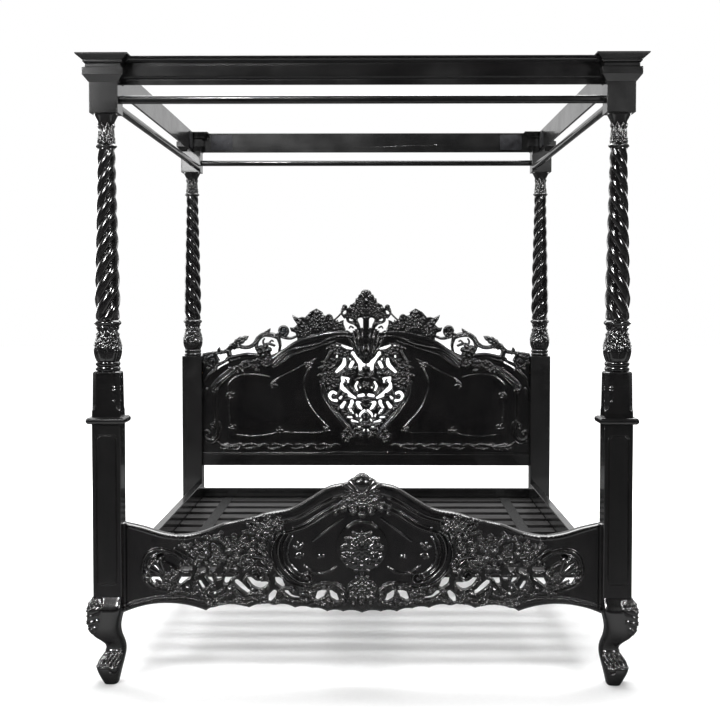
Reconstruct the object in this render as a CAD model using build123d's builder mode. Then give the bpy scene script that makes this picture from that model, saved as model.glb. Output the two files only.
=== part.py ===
from build123d import *
import os

os.makedirs("parts", exist_ok=True)

# Four poster canopy bed, in millimetres. The origin is on the floor under the middle of the bed.
# +Z is up, -Y is the foot end and +X is the right side for somebody who stands at the foot.

# Driving dimensions
post_spacing_x = 1620
post_spacing_y = 2080
post_side = 90
overall_height = 1993

# Heights of the joints in a front post, and in a rear post where they differ
knee_z = 281
collar_z = 833
collar_thickness = 21
upper_block_z = collar_z + collar_thickness
front_vase_z = 999
front_column_z = 1160
rear_vase_z = 960
rear_column_z = 1129
top_block_z = 1812
cap_z = 1907

# Outer side of a front leg, from the axis of its post, as it is sawn across the bed and along it
leg_outer_across = [(45, knee_z), (72, 236), (73, 195), (50, 150), (14, 108), (41, 50), (16, 0)]
leg_outer_along = [(45, knee_z), (66, 240), (60, 195), (45, 150), (25, 108), (52, 50), (45, 0)]

# Turned work, radii
ring_radius = 39.5
ring_neck_radius = 35.5
vase_belly_radius = 45
vase_neck_radius = 31.5
vase_lip_radius = 43
column_foot_radius = 36
column_full_radius = 40
column_head_radius = 27.5
column_neck_radius = 24.5
column_ring_radius = 34
column_top_radius = 38.5

# Carved boards: how far they sit behind the faces of the posts, and how thick they are
board_setback = 25
board_thickness = 38
ornament_thickness = 8
panel_bottom_z = 500
headboard_bottom_z = 448
footboard_split_x = 300
crest_split_x = 130

# Base
rail_thickness = 30
rail_setback = 60
rail_bottom_z = 220
side_rail_top_z = 365
head_rail_top_z = 340
ledge_side = 25
slat_count = 11
slat_width = 92
slat_thickness = 18
slat_pitch = 167
slat_top_z = 300
first_slat_y = -770
beam_side = 50
webbing_width = 45
webbing_thickness = 1.5
webbing_inset = 125
centre_leg_places = [100, 620]
centre_leg_side = 45
bracket_thickness = 3
bracket_width = 90
bracket_reach = 50

# Canopy
cornice_depth = 28
cornice_setback = 30
cornice_bottom_z = 1905
curtain_rail_side = 25
cross_rail_z = 1844
side_curtain_rail_z = 1822
plate_length = 100
plate_height = 70
plate_thickness = 3
plate_offset = 45

# Fastenings
dowel_radius = 10
dowel_depth = 32
board_dowel_radius = 6
bolt_radius = 5
bolt_depth = 55
screw_radius = 2
screw_head_radius = 4.5
screw_length = 16
screw_head_height = 2

post_x = post_spacing_x / 2
post_y = post_spacing_y / 2
half_post = post_side / 2
inner_x = post_x - half_post
inner_y = post_y - half_post
collar_middle_z = collar_z + collar_thickness / 2
deck_z = slat_top_z - slat_thickness
foot_face_y = -(post_y + half_post - board_setback)
foot_back_y = foot_face_y + board_thickness
head_face_y = inner_y + board_setback
rail_inner_x = post_x + half_post - rail_setback - rail_thickness
rail_middle_x = rail_inner_x + rail_thickness / 2
head_rail_y = head_face_y + rail_thickness / 2
foot_board_y = foot_face_y + board_thickness / 2
head_board_y = head_face_y + board_thickness / 2
foot_dowel_heights = [340, 450]
head_dowel_heights = [474, 560, 740, 880]
side_bolt_heights = [262, 324]
head_bolt_heights = [240, 310]

sides = {"left": -1, "right": 1}
foot_plane = Plane.XZ.offset(-foot_face_y)
head_plane = Plane.XZ.offset(-head_face_y)


def save(part, name):
    """Label one finished piece and write it as a STEP file."""
    part.label = name
    export_step(part, f"parts/{name}.step")


def centred_box(low, high, mode=Mode.ADD):
    """A box in the current part between two corners."""
    size = [b - a for a, b in zip(low, high)]
    middle = [(a + b) / 2 for a, b in zip(low, high)]
    with Locations(tuple(middle)):
        Box(*size, mode=mode)


def bore_for_dowels(x, y, heights, mode=Mode.SUBTRACT):
    """Upright dowels, or the holes for them, on the axis of a post at each joint height."""
    for z in heights:
        with Locations((x, y, z)):
            Cylinder(dowel_radius, 2 * dowel_depth, mode=mode)


def bore_for_board(y, heights, mode=Mode.SUBTRACT):
    """Dowels, or their holes, that run across the bed between a board and the two posts beside it."""
    for side in sides.values():
        for z in heights:
            with Locations(Location((side * inner_x, y, z), (0, 90, 0))):
                Cylinder(board_dowel_radius, 2 * dowel_depth, mode=mode)


def bore_for_bolts(mode=Mode.SUBTRACT):
    """Bed bolts, or their holes, between the posts and the side rails and the head cross rail."""
    for side in sides.values():
        for end in (-1, 1):
            for z in side_bolt_heights:
                with Locations(Location((side * rail_middle_x, end * inner_y, z), (90, 0, 0))):
                    Cylinder(bolt_radius, 2 * bolt_depth, mode=mode)
        for z in head_bolt_heights:
            with Locations(Location((side * inner_x, head_rail_y, z), (0, 90, 0))):
                Cylinder(bolt_radius, 2 * dowel_depth, mode=mode)


def axis_plane(x, y):
    """The upright plane through a post's axis: its own x is the radius and its own y is the height."""
    return Plane(origin=(x, y, 0), x_dir=(1, 0, 0), z_dir=(0, -1, 0))


# ---------------------------------------------------------------- posts


def leg_outline(side, outer):
    """Side view of a cabriole leg, from the post's axis, with the given outer side."""
    inner = [(-28, 0), (-48, 95), (-35, 180), (-45, 235)]
    foot_u, foot_z = outer[-1]
    with BuildSketch() as outline:
        with BuildLine():
            Spline([(side * u, z) for u, z in outer])
            Line((side * foot_u, foot_z), (side * -28, 0))
            Spline([(side * u, z) for u, z in inner])
            Line((side * -45, 235), (side * -45, knee_z))
            Line((side * -45, knee_z), (side * 45, knee_z))
        make_face()
    return outline.sketch


def cabriole_leg(side, x, y):
    across = Plane(origin=(x, y, 0), x_dir=(1, 0, 0), z_dir=(0, -1, 0))
    along = Plane(origin=(x, y, 0), x_dir=(0, 1, 0), z_dir=(1, 0, 0))
    with BuildPart() as leg:
        with BuildSketch(across):
            add(leg_outline(side, leg_outer_across))
        extrude(amount=post_side, both=True)
        with BuildSketch(along):
            add(leg_outline(-1, leg_outer_along))
        extrude(amount=post_side, both=True, mode=Mode.INTERSECT)
        bore_for_dowels(x, y, [knee_z])
    return leg.part


def incised_panel():
    """The groove of a long panel with canted corners on the face of a lower post."""
    half_width = 34
    half_height = 240
    groove_width = 6
    with BuildSketch() as groove:
        for inset, mode in ((0, Mode.ADD), (groove_width, Mode.SUBTRACT)):
            with BuildSketch(mode=Mode.PRIVATE) as panel:
                with Locations((0, (knee_z + collar_z) / 2 + 3)):
                    Rectangle(2 * (half_width - inset), 2 * (half_height - inset))
                chamfer(panel.vertices(), 9)
            add(panel.sketch, mode=mode)
    return groove.sketch


def front_lower_post(side, x, y):
    front = Plane(origin=(x, y - half_post, 0), x_dir=(1, 0, 0), z_dir=(0, -1, 0))
    outer = Plane(origin=(x + side * half_post, y, 0), x_dir=(0, side, 0), z_dir=(side, 0, 0))
    groove_depth = 3
    groove_slope = 38
    with BuildPart() as post:
        centred_box((x - half_post, y - half_post, knee_z), (x + half_post, y + half_post, collar_z))
        chamfer(post.edges().filter_by(Axis.Z), 1.5)
        for face in (front, outer):
            with BuildSketch(face):
                add(incised_panel())
            extrude(amount=-groove_depth, taper=groove_slope, mode=Mode.SUBTRACT)
        bore_for_dowels(x, y, [knee_z, collar_middle_z])
        bore_for_board(foot_board_y, foot_dowel_heights)
        bore_for_bolts()
    return post.part


def rear_lower_post(x, y):
    with BuildPart() as post:
        centred_box((x - half_post, y - half_post, 0), (x + half_post, y + half_post, rear_vase_z))
        chamfer(post.edges().filter_by(Axis.Z), 1.5)
        bore_for_dowels(x, y, [rear_vase_z])
        bore_for_board(head_board_y, head_dowel_heights)
        bore_for_bolts()
    return post.part


def collar(x, y):
    """A square plate with a bullnose edge between the lower post and the upper block."""
    overhang = 16
    nose = collar_thickness / 2 - 0.5
    half = half_post + overhang
    with BuildPart() as plate:
        centred_box((x - half, y - half, collar_z), (x + half, y + half, upper_block_z))
        flat_edges = plate.edges().filter_by(Axis.Z, reverse=True)
        fillet(flat_edges, nose)
        bore_for_dowels(x, y, [collar_middle_z])
    return plate.part


def upper_block(x, y):
    """The tapered block above the collar, with chamfers that stop in a scoop above its foot."""
    taper_angle = 0.9
    chamfer_foot_z = 892
    chamfer_reach = 50
    scoop_radius = 16
    height = front_vase_z - upper_block_z
    with BuildPart() as block:
        with BuildSketch(Plane.XY.offset(upper_block_z)):
            with Locations((x, y)):
                Rectangle(post_side, post_side)
        extrude(amount=height, taper=taper_angle)
        for corner_x in (-1, 1):
            for corner_y in (-1, 1):
                corner = (x + corner_x * chamfer_reach, y + corner_y * chamfer_reach)
                rotation = (0, 0, 45)
                with Locations(Location((*corner, chamfer_foot_z + height / 2), rotation)):
                    Box(2 * scoop_radius, 2 * scoop_radius, height, mode=Mode.SUBTRACT)
        bore_for_dowels(x, y, [collar_middle_z, front_vase_z])
    return block.part


def vase(x, y, foot_z, top_z):
    """Two bead rings, the belly and neck of the vase, and the lip under the column."""
    ring_height = 16
    body_z = foot_z + 2 * ring_height
    lip_z = top_z - 14
    with BuildPart() as turned:
        with BuildSketch(axis_plane(x, y)):
            with BuildLine():
                Line((0, foot_z), (ring_neck_radius, foot_z))
                for k in range(2):
                    low = foot_z + k * ring_height
                    ThreePointArc(
                        (ring_neck_radius, low),
                        (ring_radius, low + ring_height / 2),
                        (ring_neck_radius, low + ring_height),
                    )
                Spline(
                    (ring_neck_radius, body_z),
                    (vase_belly_radius, body_z + 0.26 * (lip_z - body_z)),
                    (vase_neck_radius, body_z + 0.76 * (lip_z - body_z)),
                    (vase_lip_radius - 3, lip_z),
                )
                ThreePointArc(
                    (vase_lip_radius - 3, lip_z),
                    (vase_lip_radius, (lip_z + top_z) / 2),
                    (vase_lip_radius - 3, top_z),
                )
                Line((vase_lip_radius - 3, top_z), (0, top_z))
                Line((0, top_z), (0, foot_z))
            make_face()
        revolve(axis=Axis((x, y, 0), (0, 0, 1)))
        bore_for_dowels(x, y, [foot_z, top_z])
    return turned.part


def twist_column(x, y, foot_z):
    """The rope-twist column: it swells, tapers to the neck ring and flares out to the top block."""
    ring_foot_z = 1704
    ring_top_z = 1718
    neck_z = 1750
    taper_length = ring_foot_z - foot_z
    with BuildPart() as column:
        with BuildSketch(axis_plane(x, y)):
            with BuildLine():
                Line((0, foot_z), (column_foot_radius, foot_z))
                Spline(
                    (column_foot_radius, foot_z),
                    (column_full_radius, foot_z + 0.12 * taper_length),
                    (column_full_radius - 3, foot_z + 0.35 * taper_length),
                    (column_full_radius - 6, foot_z + 0.57 * taper_length),
                    (column_head_radius + 3, foot_z + 0.8 * taper_length),
                    (column_head_radius, ring_foot_z),
                )
                ThreePointArc(
                    (column_head_radius, ring_foot_z),
                    (column_ring_radius, (ring_foot_z + ring_top_z) / 2),
                    (column_head_radius, ring_top_z),
                )
                Spline(
                    (column_head_radius, ring_top_z),
                    (column_neck_radius, neck_z),
                    (column_neck_radius + 2, top_block_z - 32),
                    (column_neck_radius + 6, top_block_z - 20),
                    (column_top_radius, top_block_z),
                )
                Line((column_top_radius, top_block_z), (0, top_block_z))
                Line((0, top_block_z), (0, foot_z))
            make_face()
        revolve(axis=Axis((x, y, 0), (0, 0, 1)))
        bore_for_dowels(x, y, [foot_z, top_block_z])
    return column.part


def top_block(x, y):
    with BuildPart() as block:
        centred_box((x - half_post, y - half_post, top_block_z), (x + half_post, y + half_post, cap_z))
        chamfer(block.edges().filter_by(Axis.Z), 1)
        bore_for_dowels(x, y, [top_block_z, cap_z])
    return block.part


# Overhang of the cap's moulding beyond the post at each height above the bottom of the cap
cap_profile = [(1, 0), (3, 2), (18, 21), (18, 43), (10, 46), (10, 55), (17, 62), (17, 66), (34, 80),
               (37, 83), (37, 86)]


def cap(side_x, side_y, x, y):
    """A moulded cap with mitred corners, notched where the two cornices run in to it."""
    with BuildPart() as moulded:
        for (low_out, low), (high_out, high) in zip(cap_profile, cap_profile[1:]):
            with BuildSketch(Plane.XY.offset(cap_z + low)):
                with Locations((x, y)):
                    Rectangle(post_side + 2 * low_out, post_side + 2 * low_out)
            with BuildSketch(Plane.XY.offset(cap_z + high)):
                with Locations((x, y)):
                    Rectangle(post_side + 2 * high_out, post_side + 2 * high_out)
            loft(ruled=True)
        outer_x = post_x + half_post - cornice_setback
        outer_y = post_y + half_post - cornice_setback
        top_z = overall_height + 1
        run_x = sorted([side_x * (inner_x - 60), side_x * inner_x])
        seat_y = sorted([side_y * (outer_y - cornice_depth), side_y * outer_y])
        centred_box((run_x[0], seat_y[0], cap_z - 1), (run_x[1], seat_y[1], top_z), Mode.SUBTRACT)
        run_y = sorted([side_y * (inner_y - 60), side_y * inner_y])
        seat_x = sorted([side_x * (outer_x - cornice_depth), side_x * outer_x])
        centred_box((seat_x[0], run_y[0], cap_z - 1), (seat_x[1], run_y[1], top_z), Mode.SUBTRACT)
        bore_for_dowels(x, y, [cap_z])
    return moulded.part


for side_name, side in sides.items():
    x = side * post_x
    y = -post_y
    name = f"front_{side_name}"
    save(cabriole_leg(side, x, y), f"{name}_leg")
    save(front_lower_post(side, x, y), f"{name}_lower_post")
    save(collar(x, y), f"{name}_collar")
    save(upper_block(x, y), f"{name}_upper_block")
    save(vase(x, y, front_vase_z, front_column_z), f"{name}_vase")
    save(twist_column(x, y, front_column_z), f"{name}_twist_column")
    save(top_block(x, y), f"{name}_top_block")
    save(cap(side, -1, x, y), f"{name}_cap")
    y = post_y
    name = f"rear_{side_name}"
    save(rear_lower_post(x, y), f"{name}_lower_post")
    save(vase(x, y, rear_vase_z, rear_column_z), f"{name}_vase")
    save(twist_column(x, y, rear_column_z), f"{name}_twist_column")
    save(top_block(x, y), f"{name}_top_block")
    save(cap(side, 1, x, y), f"{name}_cap")


# ---------------------------------------------------------------- canopy


def cornice_section():
    """Section of a cornice: x runs outwards from the inner face, and y is the height."""
    cove_z = cornice_bottom_z + 14
    fascia_z = cornice_bottom_z + 26
    crown_z = cornice_bottom_z + 64
    fillet_z = overall_height - 4
    with BuildSketch() as section:
        with BuildLine():
            Line((0, cornice_bottom_z), (9, cornice_bottom_z))
            Line((9, cornice_bottom_z), (9, cove_z))
            ThreePointArc((9, cove_z), (10.5, cove_z + 8), (15, fascia_z))
            Line((15, fascia_z), (15, crown_z - 3))
            Line((15, crown_z - 3), (13, crown_z - 3))
            Line((13, crown_z - 3), (13, crown_z))
            ThreePointArc((13, crown_z), (17, crown_z + 14), (cornice_depth, fillet_z))
            Line((cornice_depth, fillet_z), (cornice_depth, overall_height))
            Line((cornice_depth, overall_height), (0, overall_height))
            Line((0, overall_height), (0, cornice_bottom_z))
        make_face()
    return section.sketch


plate_z = (cap_z + overall_height) / 2


def screw_places(run):
    """Where the two screws of each corner plate sit along a cornice, and their height."""
    spots = []
    for end in (-1, 1):
        for step in (20, plate_length - 20):
            spots.append((end * (run / 2 - plate_offset - step), plate_z))
    return spots


def inner_face_plane(origin, outward):
    """The inner face of a cornice: it faces the middle of the bed and its own y is the height."""
    inward = Vector(*outward) * -1
    return Plane(origin=origin, x_dir=Vector(0, 0, 1).cross(inward), z_dir=inward)


def cornice(origin, outward, run):
    """A cornice of a given run, whose inner face passes through its origin."""
    along = Vector(*outward).cross(Vector(0, 0, 1))
    section_plane = Plane(origin=origin, x_dir=outward, z_dir=along)
    face_plane = inner_face_plane(origin, outward)
    with BuildPart() as rail:
        with BuildSketch(section_plane):
            add(cornice_section())
        extrude(amount=run / 2, both=True)
        with BuildSketch(face_plane):
            with Locations(*screw_places(run)):
                Circle(screw_radius)
        extrude(amount=-(screw_length - plate_thickness), mode=Mode.SUBTRACT)
    return rail.part


cornice_inner_x = post_x + half_post - cornice_setback - cornice_depth
cornice_inner_y = post_y + half_post - cornice_setback - cornice_depth
cross_run = 2 * inner_x
side_run = 2 * inner_y
canopy_sides = {
    "front": ((0, -cornice_inner_y, 0), (0, -1, 0), cross_run),
    "rear": ((0, cornice_inner_y, 0), (0, 1, 0), cross_run),
    "left": ((-cornice_inner_x, 0, 0), (-1, 0, 0), side_run),
    "right": ((cornice_inner_x, 0, 0), (1, 0, 0), side_run),
}
for name, (origin, outward, run) in canopy_sides.items():
    save(cornice(origin, outward, run), f"{name}_cornice")


def curtain_rail(low, high):
    """A square rail whose long edges are rounded."""
    long_axis = Axis.X if high[0] - low[0] > high[1] - low[1] else Axis.Y
    with BuildPart() as rail:
        centred_box(low, high)
        fillet(rail.edges().filter_by(long_axis), 10)
    return rail.part


for name, side in (("front", -1), ("rear", 1)):
    outer = side * (post_y + half_post - cornice_setback)
    inner = outer - side * curtain_rail_side
    low_y, high_y = sorted([outer, inner])
    low = (-inner_x, low_y, cross_rail_z)
    high = (inner_x, high_y, cross_rail_z + curtain_rail_side)
    save(curtain_rail(low, high), f"{name}_curtain_rail")
for name, side in sides.items():
    low_x, high_x = sorted([side * inner_x, side * (inner_x + curtain_rail_side)])
    low = (low_x, -inner_y, side_curtain_rail_z)
    high = (high_x, inner_y, side_curtain_rail_z + curtain_rail_side)
    save(curtain_rail(low, high), f"{name}_curtain_rail")


with BuildPart() as corner_plates:
    for origin, outward, run in canopy_sides.values():
        centre = run / 2 - plate_offset - plate_length / 2
        with BuildSketch(inner_face_plane(origin, outward)):
            with Locations((-centre, plate_z), (centre, plate_z)):
                RectangleRounded(plate_length, plate_height, 6)
            with Locations(*screw_places(run)):
                Circle(screw_radius, mode=Mode.SUBTRACT)
        extrude(amount=plate_thickness)
save(corner_plates.part, "canopy_corner_plates")

with BuildPart() as plate_screws:
    for origin, outward, run in canopy_sides.values():
        screw_seat = inner_face_plane(origin, outward).offset(plate_thickness)
        with BuildSketch(screw_seat):
            with Locations(*screw_places(run)):
                Circle(screw_radius)
        extrude(amount=-screw_length)
        with BuildSketch(screw_seat):
            with Locations(*screw_places(run)):
                Circle(screw_head_radius)
        extrude(amount=screw_head_height)
save(plate_screws.part, "canopy_screws")


# ---------------------------------------------------------------- carved boards


def mirrored(points):
    """Points of a right half, from the middle outwards, as a whole line from left to right."""
    left = [(-x, z) for x, z in reversed(points) if x > 0]
    return left + list(points)


def scallops(points):
    """A carved edge: every two points are joined by an arc that bulges to the left."""
    rise_per_length = 0.12
    for a, b in zip(points, points[1:]):
        SagittaArc(a, b, rise_per_length * (Vector(*b) - Vector(*a)).length)


# Half outlines from the middle to the post
head_board_top = [(0, 1078), (130, 1078), (230, 1062), (320, 1035), (400, 985), (460, 962), (560, 955),
                  (640, 930), (710, 885), (765, 805)]
shield_edge = [(0, 545), (55, 560), (85, 625), (135, 685), (190, 770), (205, 850), (190, 940), (140, 1020),
               (125, 1090)]
crest_edge = [(130, 1148), (165, 1150), (200, 1155), (230, 1182), (285, 1140), (340, 1150), (325, 1108),
              (352, 1088), (330, 1050), (372, 1046), (368, 1085), (410, 1090), (470, 1070), (520, 1030),
              (550, 1050), (600, 1025), (640, 998), (700, 978), (765, 968)]
crest_peak = [(0, 1273), (25, 1250), (50, 1205), (88, 1182), (100, 1200), (112, 1170), (130, 1148)]
foot_board_top = [(0, 648), (60, 640), (110, 628), (170, 592), (230, 560), (300, 547), (380, 523), (440, 512),
                  (510, 485), (575, 474), (640, 482), (700, 500), (765, 515)]
foot_apron = [(0, 224), (60, 228), (112, 228), (160, 238), (215, 240), (282, 249), (362, 240), (478, 240),
              (500, 230)]
foot_arch = [(inner_x, 223), (600, 253), (500, 230)]
foot_shell = [(0, 672), (25, 658), (52, 636), (76, 612)]

with BuildSketch() as head_board:
    with BuildLine():
        top = Spline(mirrored(head_board_top))
        Line(top @ 1, (inner_x, panel_bottom_z))
        Line((inner_x, panel_bottom_z), (-inner_x, panel_bottom_z))
        Line((-inner_x, panel_bottom_z), top @ 0)
    make_face()

with BuildSketch() as shield:
    with BuildLine():
        rim = Spline(mirrored(shield_edge))
        Line(rim @ 1, rim @ 0)
    make_face()
    add(head_board.sketch, mode=Mode.INTERSECT)

with BuildSketch() as crest:
    with BuildLine():
        scallops([(-x, z) for x, z in reversed(crest_edge)])
        scallops([(-x, z) for x, z in reversed(crest_peak)])
        scallops(crest_peak)
        scallops(crest_edge)
        Line((765, 968), (765, 700))
        Line((765, 700), (-765, 700))
        Line((-765, 700), (-765, 968))
    make_face()
    add(head_board.sketch, mode=Mode.SUBTRACT)


def save_board(board, face_plane, name):
    """Extrude one piece of a carved board backwards from its face plane, bore it and write it."""
    with BuildPart() as piece:
        with BuildSketch(face_plane):
            add(board)
        extrude(amount=-board_thickness)
        bore_for_board(foot_board_y, foot_dowel_heights)
        bore_for_board(head_board_y, head_dowel_heights)
    save(piece.part, name)


def ellipse_holes(holes):
    """Pierced openings, given as (x, z, half width, half height, turn), on both sides of the middle."""
    for x, z, a, b, turn in holes:
        for side in (-1, 1):
            with Locations(Location((side * x, z, 0), (0, 0, side * turn))):
                Ellipse(a, b, mode=Mode.SUBTRACT)


with BuildSketch() as bottom_rail:
    with Locations((0, (headboard_bottom_z + panel_bottom_z) / 2)):
        Rectangle(2 * inner_x, panel_bottom_z - headboard_bottom_z)
save_board(bottom_rail.sketch, head_plane, "headboard_bottom_rail")

with BuildSketch() as cartouche:
    add(shield.sketch)
    ellipse_holes([
        (26, 920, 9, 30, 20), (66, 920, 10, 12, 0), (100, 930, 9, 30, 25), (95, 845, 14, 10, 0),
        (40, 818, 7, 20, 0), (90, 800, 9, 28, 45), (22, 773, 10, 10, 0), (145, 772, 22, 20, 0),
        (35, 722, 10, 22, 0), (103, 728, 11, 13, 0), (70, 690, 10, 12, 0), (22, 685, 7, 16, 0),
    ])
save_board(cartouche.sketch, head_plane, "headboard_cartouche")

with BuildSketch() as crest_centre:
    add(crest.sketch)
    with Locations((0, 1100)):
        Rectangle(2 * crest_split_x, 400, mode=Mode.INTERSECT)
    ellipse_holes([(64, 1140, 9, 9, 0), (20, 1113, 8, 18, 0), (92, 1118, 9, 26, 50)])
save_board(crest_centre.sketch, head_plane, "headboard_crest_centre")

for name, side in sides.items():
    with BuildSketch() as panel:
        add(head_board.sketch)
        add(shield.sketch, mode=Mode.SUBTRACT)
        with Locations((side * inner_x / 2, 800)):
            Rectangle(inner_x, 800, mode=Mode.INTERSECT)
    save_board(panel.sketch, head_plane, f"headboard_panel_{name}")
    with BuildSketch() as side_crest:
        add(crest.sketch)
        with Locations((side * (crest_split_x + inner_x) / 2, 1000)):
            Rectangle(inner_x - crest_split_x, 700, mode=Mode.INTERSECT)
        ellipse_holes([(455, 1035, 32, 18, -20), (590, 975, 26, 8, -5), (668, 955, 12, 9, 0)])
    save_board(side_crest.sketch, head_plane, f"headboard_crest_{name}")

with BuildSketch() as foot_board:
    with BuildLine():
        top = Spline(mirrored(foot_board_top))
        Line(top @ 1, foot_arch[0])
        ThreePointArc(*foot_arch)
        scallops([(x, z) for x, z in reversed(foot_apron)])
        scallops([(-x, z) for x, z in foot_apron])
        ThreePointArc(*[(-x, z) for x, z in reversed(foot_arch)])
        Line((-inner_x, foot_arch[0][1]), top @ 0)
    make_face()

with BuildSketch() as foot_crest:
    with BuildLine():
        scallops([(-x, z) for x, z in reversed(foot_shell)])
        scallops(foot_shell)
        ThreePointArc((76, 612), (0, 590), (-76, 612))
    make_face()
save_board(foot_crest.sketch, foot_plane, "footboard_crest")

with BuildSketch() as foot_centre:
    add(foot_board.sketch)
    with Locations((0, 450)):
        Rectangle(2 * footboard_split_x, 600, mode=Mode.INTERSECT)
    add(foot_crest.sketch, mode=Mode.SUBTRACT)
    ellipse_holes([(128, 282, 16, 14, 30), (288, 280, 11, 18, 10), (225, 282, 24, 7, 20)])
save_board(foot_centre.sketch, foot_plane, "footboard_centre_panel")

for name, side in sides.items():
    with BuildSketch() as foot_end:
        add(foot_board.sketch)
        with Locations((side * (footboard_split_x + inner_x) / 2, 400)):
            Rectangle(inner_x - footboard_split_x, 600, mode=Mode.INTERSECT)
        ellipse_holes([
            (315, 325, 9, 16, 25), (365, 320, 30, 16, 15), (425, 335, 16, 10, 0), (472, 325, 20, 9, 60),
            (515, 312, 9, 14, 25), (575, 330, 20, 11, -15), (665, 335, 16, 9, -30),
        ])
    save_board(foot_end.sketch, foot_plane, f"footboard_carved_end_{name}")

with BuildPart() as foot_ornament:
    with BuildSketch(foot_plane):
        with Locations((0, 440)):
            Ellipse(80, 78)
    extrude(amount=ornament_thickness)
save(foot_ornament.part, "footboard_cartouche")


# ---------------------------------------------------------------- base

for name, side in sides.items():
    low_x, high_x = sorted([side * rail_inner_x, side * (rail_inner_x + rail_thickness)])
    with BuildPart() as side_rail:
        centred_box((low_x, -inner_y, rail_bottom_z), (high_x, inner_y, side_rail_top_z))
        fillet(side_rail.edges().filter_by(Axis.Y), 2)
        bore_for_bolts()
    save(side_rail.part, f"side_rail_{name}")
    low_x, high_x = sorted([side * rail_inner_x, side * (rail_inner_x - ledge_side)])
    with BuildPart() as ledge:
        centred_box((low_x, -inner_y, deck_z - ledge_side), (high_x, inner_y, deck_z))
    save(ledge.part, f"slat_ledge_{name}")

with BuildPart() as head_cross_rail:
    centred_box(
        (-inner_x, head_face_y, rail_bottom_z),
        (inner_x, head_face_y + rail_thickness, head_rail_top_z),
    )
    bore_for_bolts()
save(head_cross_rail.part, "head_cross_rail")

beam_front_y = foot_back_y + bracket_thickness
beam_rear_y = head_face_y - bracket_thickness
with BuildPart() as centre_beam:
    centred_box((-beam_side / 2, beam_front_y, deck_z - beam_side), (beam_side / 2, beam_rear_y, deck_z))
    fillet(centre_beam.edges().filter_by(Axis.Y), 3)
save(centre_beam.part, "centre_beam")

with BuildPart() as beam_brackets:
    shelf_z = deck_z - beam_side
    for wall_y, end in ((foot_back_y, 1), (head_face_y, -1)):
        plate = sorted([wall_y, wall_y + end * bracket_thickness])
        shelf = sorted([wall_y, wall_y + end * bracket_reach])
        half = bracket_width / 2
        low_z = shelf_z - bracket_thickness
        centred_box((-half, plate[0], low_z), (half, plate[1], shelf_z + bracket_reach))
        centred_box((-half, shelf[0], low_z), (half, shelf[1], shelf_z))
save(beam_brackets.part, "beam_brackets")

with BuildPart() as centre_legs:
    for y in centre_leg_places:
        half = centre_leg_side / 2
        centred_box((-half, y - half, 0), (half, y + half, deck_z - beam_side))
    chamfer(centre_legs.edges().filter_by(Axis.Z), 3)
save(centre_legs.part, "centre_legs")

with BuildPart() as slats:
    half_length = rail_inner_x - 3
    for k in range(slat_count):
        front_y = first_slat_y + k * slat_pitch
        rear_y = front_y + slat_width
        centred_box((-half_length, front_y, deck_z), (half_length, rear_y, slat_top_z))
    fillet(slats.edges().filter_by(Axis.X), 2.5)
save(slats.part, "slats")

with BuildPart() as webbing:
    last_y = first_slat_y + (slat_count - 1) * slat_pitch + slat_width
    for side in sides.values():
        middle = side * (rail_inner_x - webbing_inset)
        low = (middle - webbing_width / 2, first_slat_y + 6, slat_top_z)
        high = (middle + webbing_width / 2, last_y - 6, slat_top_z + webbing_thickness)
        centred_box(low, high)
save(webbing.part, "slat_webbing")


# ---------------------------------------------------------------- hidden fastenings

front_joints = [knee_z, collar_middle_z, front_vase_z, front_column_z, top_block_z, cap_z]
rear_joints = [rear_vase_z, rear_column_z, top_block_z, cap_z]
with BuildPart() as joint_dowels:
    for side in sides.values():
        bore_for_dowels(side * post_x, -post_y, front_joints, Mode.ADD)
        bore_for_dowels(side * post_x, post_y, rear_joints, Mode.ADD)
    bore_for_board(foot_board_y, foot_dowel_heights, Mode.ADD)
    bore_for_board(head_board_y, head_dowel_heights, Mode.ADD)
save(joint_dowels.part, "joint_dowels")

with BuildPart() as bed_bolts:
    bore_for_bolts(Mode.ADD)
save(bed_bolts.part, "bed_bolts")
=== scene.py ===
import math

import bpy
import numpy as np
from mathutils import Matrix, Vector, geometry


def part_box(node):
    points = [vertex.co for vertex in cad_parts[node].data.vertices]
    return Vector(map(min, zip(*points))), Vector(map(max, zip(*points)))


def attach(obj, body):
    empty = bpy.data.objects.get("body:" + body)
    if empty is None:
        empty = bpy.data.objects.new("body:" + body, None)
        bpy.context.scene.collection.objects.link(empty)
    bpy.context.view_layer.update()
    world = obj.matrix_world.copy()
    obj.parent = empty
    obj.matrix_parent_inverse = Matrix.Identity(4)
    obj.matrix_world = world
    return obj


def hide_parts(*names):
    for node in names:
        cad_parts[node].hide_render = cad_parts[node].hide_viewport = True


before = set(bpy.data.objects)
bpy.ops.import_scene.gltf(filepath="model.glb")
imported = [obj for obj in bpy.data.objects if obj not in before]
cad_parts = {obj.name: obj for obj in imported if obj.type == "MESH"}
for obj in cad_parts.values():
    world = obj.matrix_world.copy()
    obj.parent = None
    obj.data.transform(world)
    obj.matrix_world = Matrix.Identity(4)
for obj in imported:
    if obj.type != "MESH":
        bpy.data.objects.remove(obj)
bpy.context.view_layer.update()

# Four poster canopy bed in black lacquer, in metres. Shapes are listed in millimetres where that reads
# more easily, and mm() turns them into metres. -Y is the foot end, which faces the camera.

MM = 0.001
scene = bpy.context.scene


def mm(points):
    """Millimetres as an array of metres."""
    return np.array(points, float) * MM


# ---------------------------------------------------------------- camera and studio

camera_data = bpy.data.cameras.new("camera")
camera_data.lens = 69.7
camera_data.sensor_width = 36
camera = bpy.data.objects.new("camera", camera_data)
camera.location = (0.0394, -5.4722, 1.2329)
camera.rotation_euler = (math.radians(90 - 2.567), 0, math.radians(0.595))
scene.collection.objects.link(camera)
scene.camera = camera
scene.view_settings.view_transform = "Standard"


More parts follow.
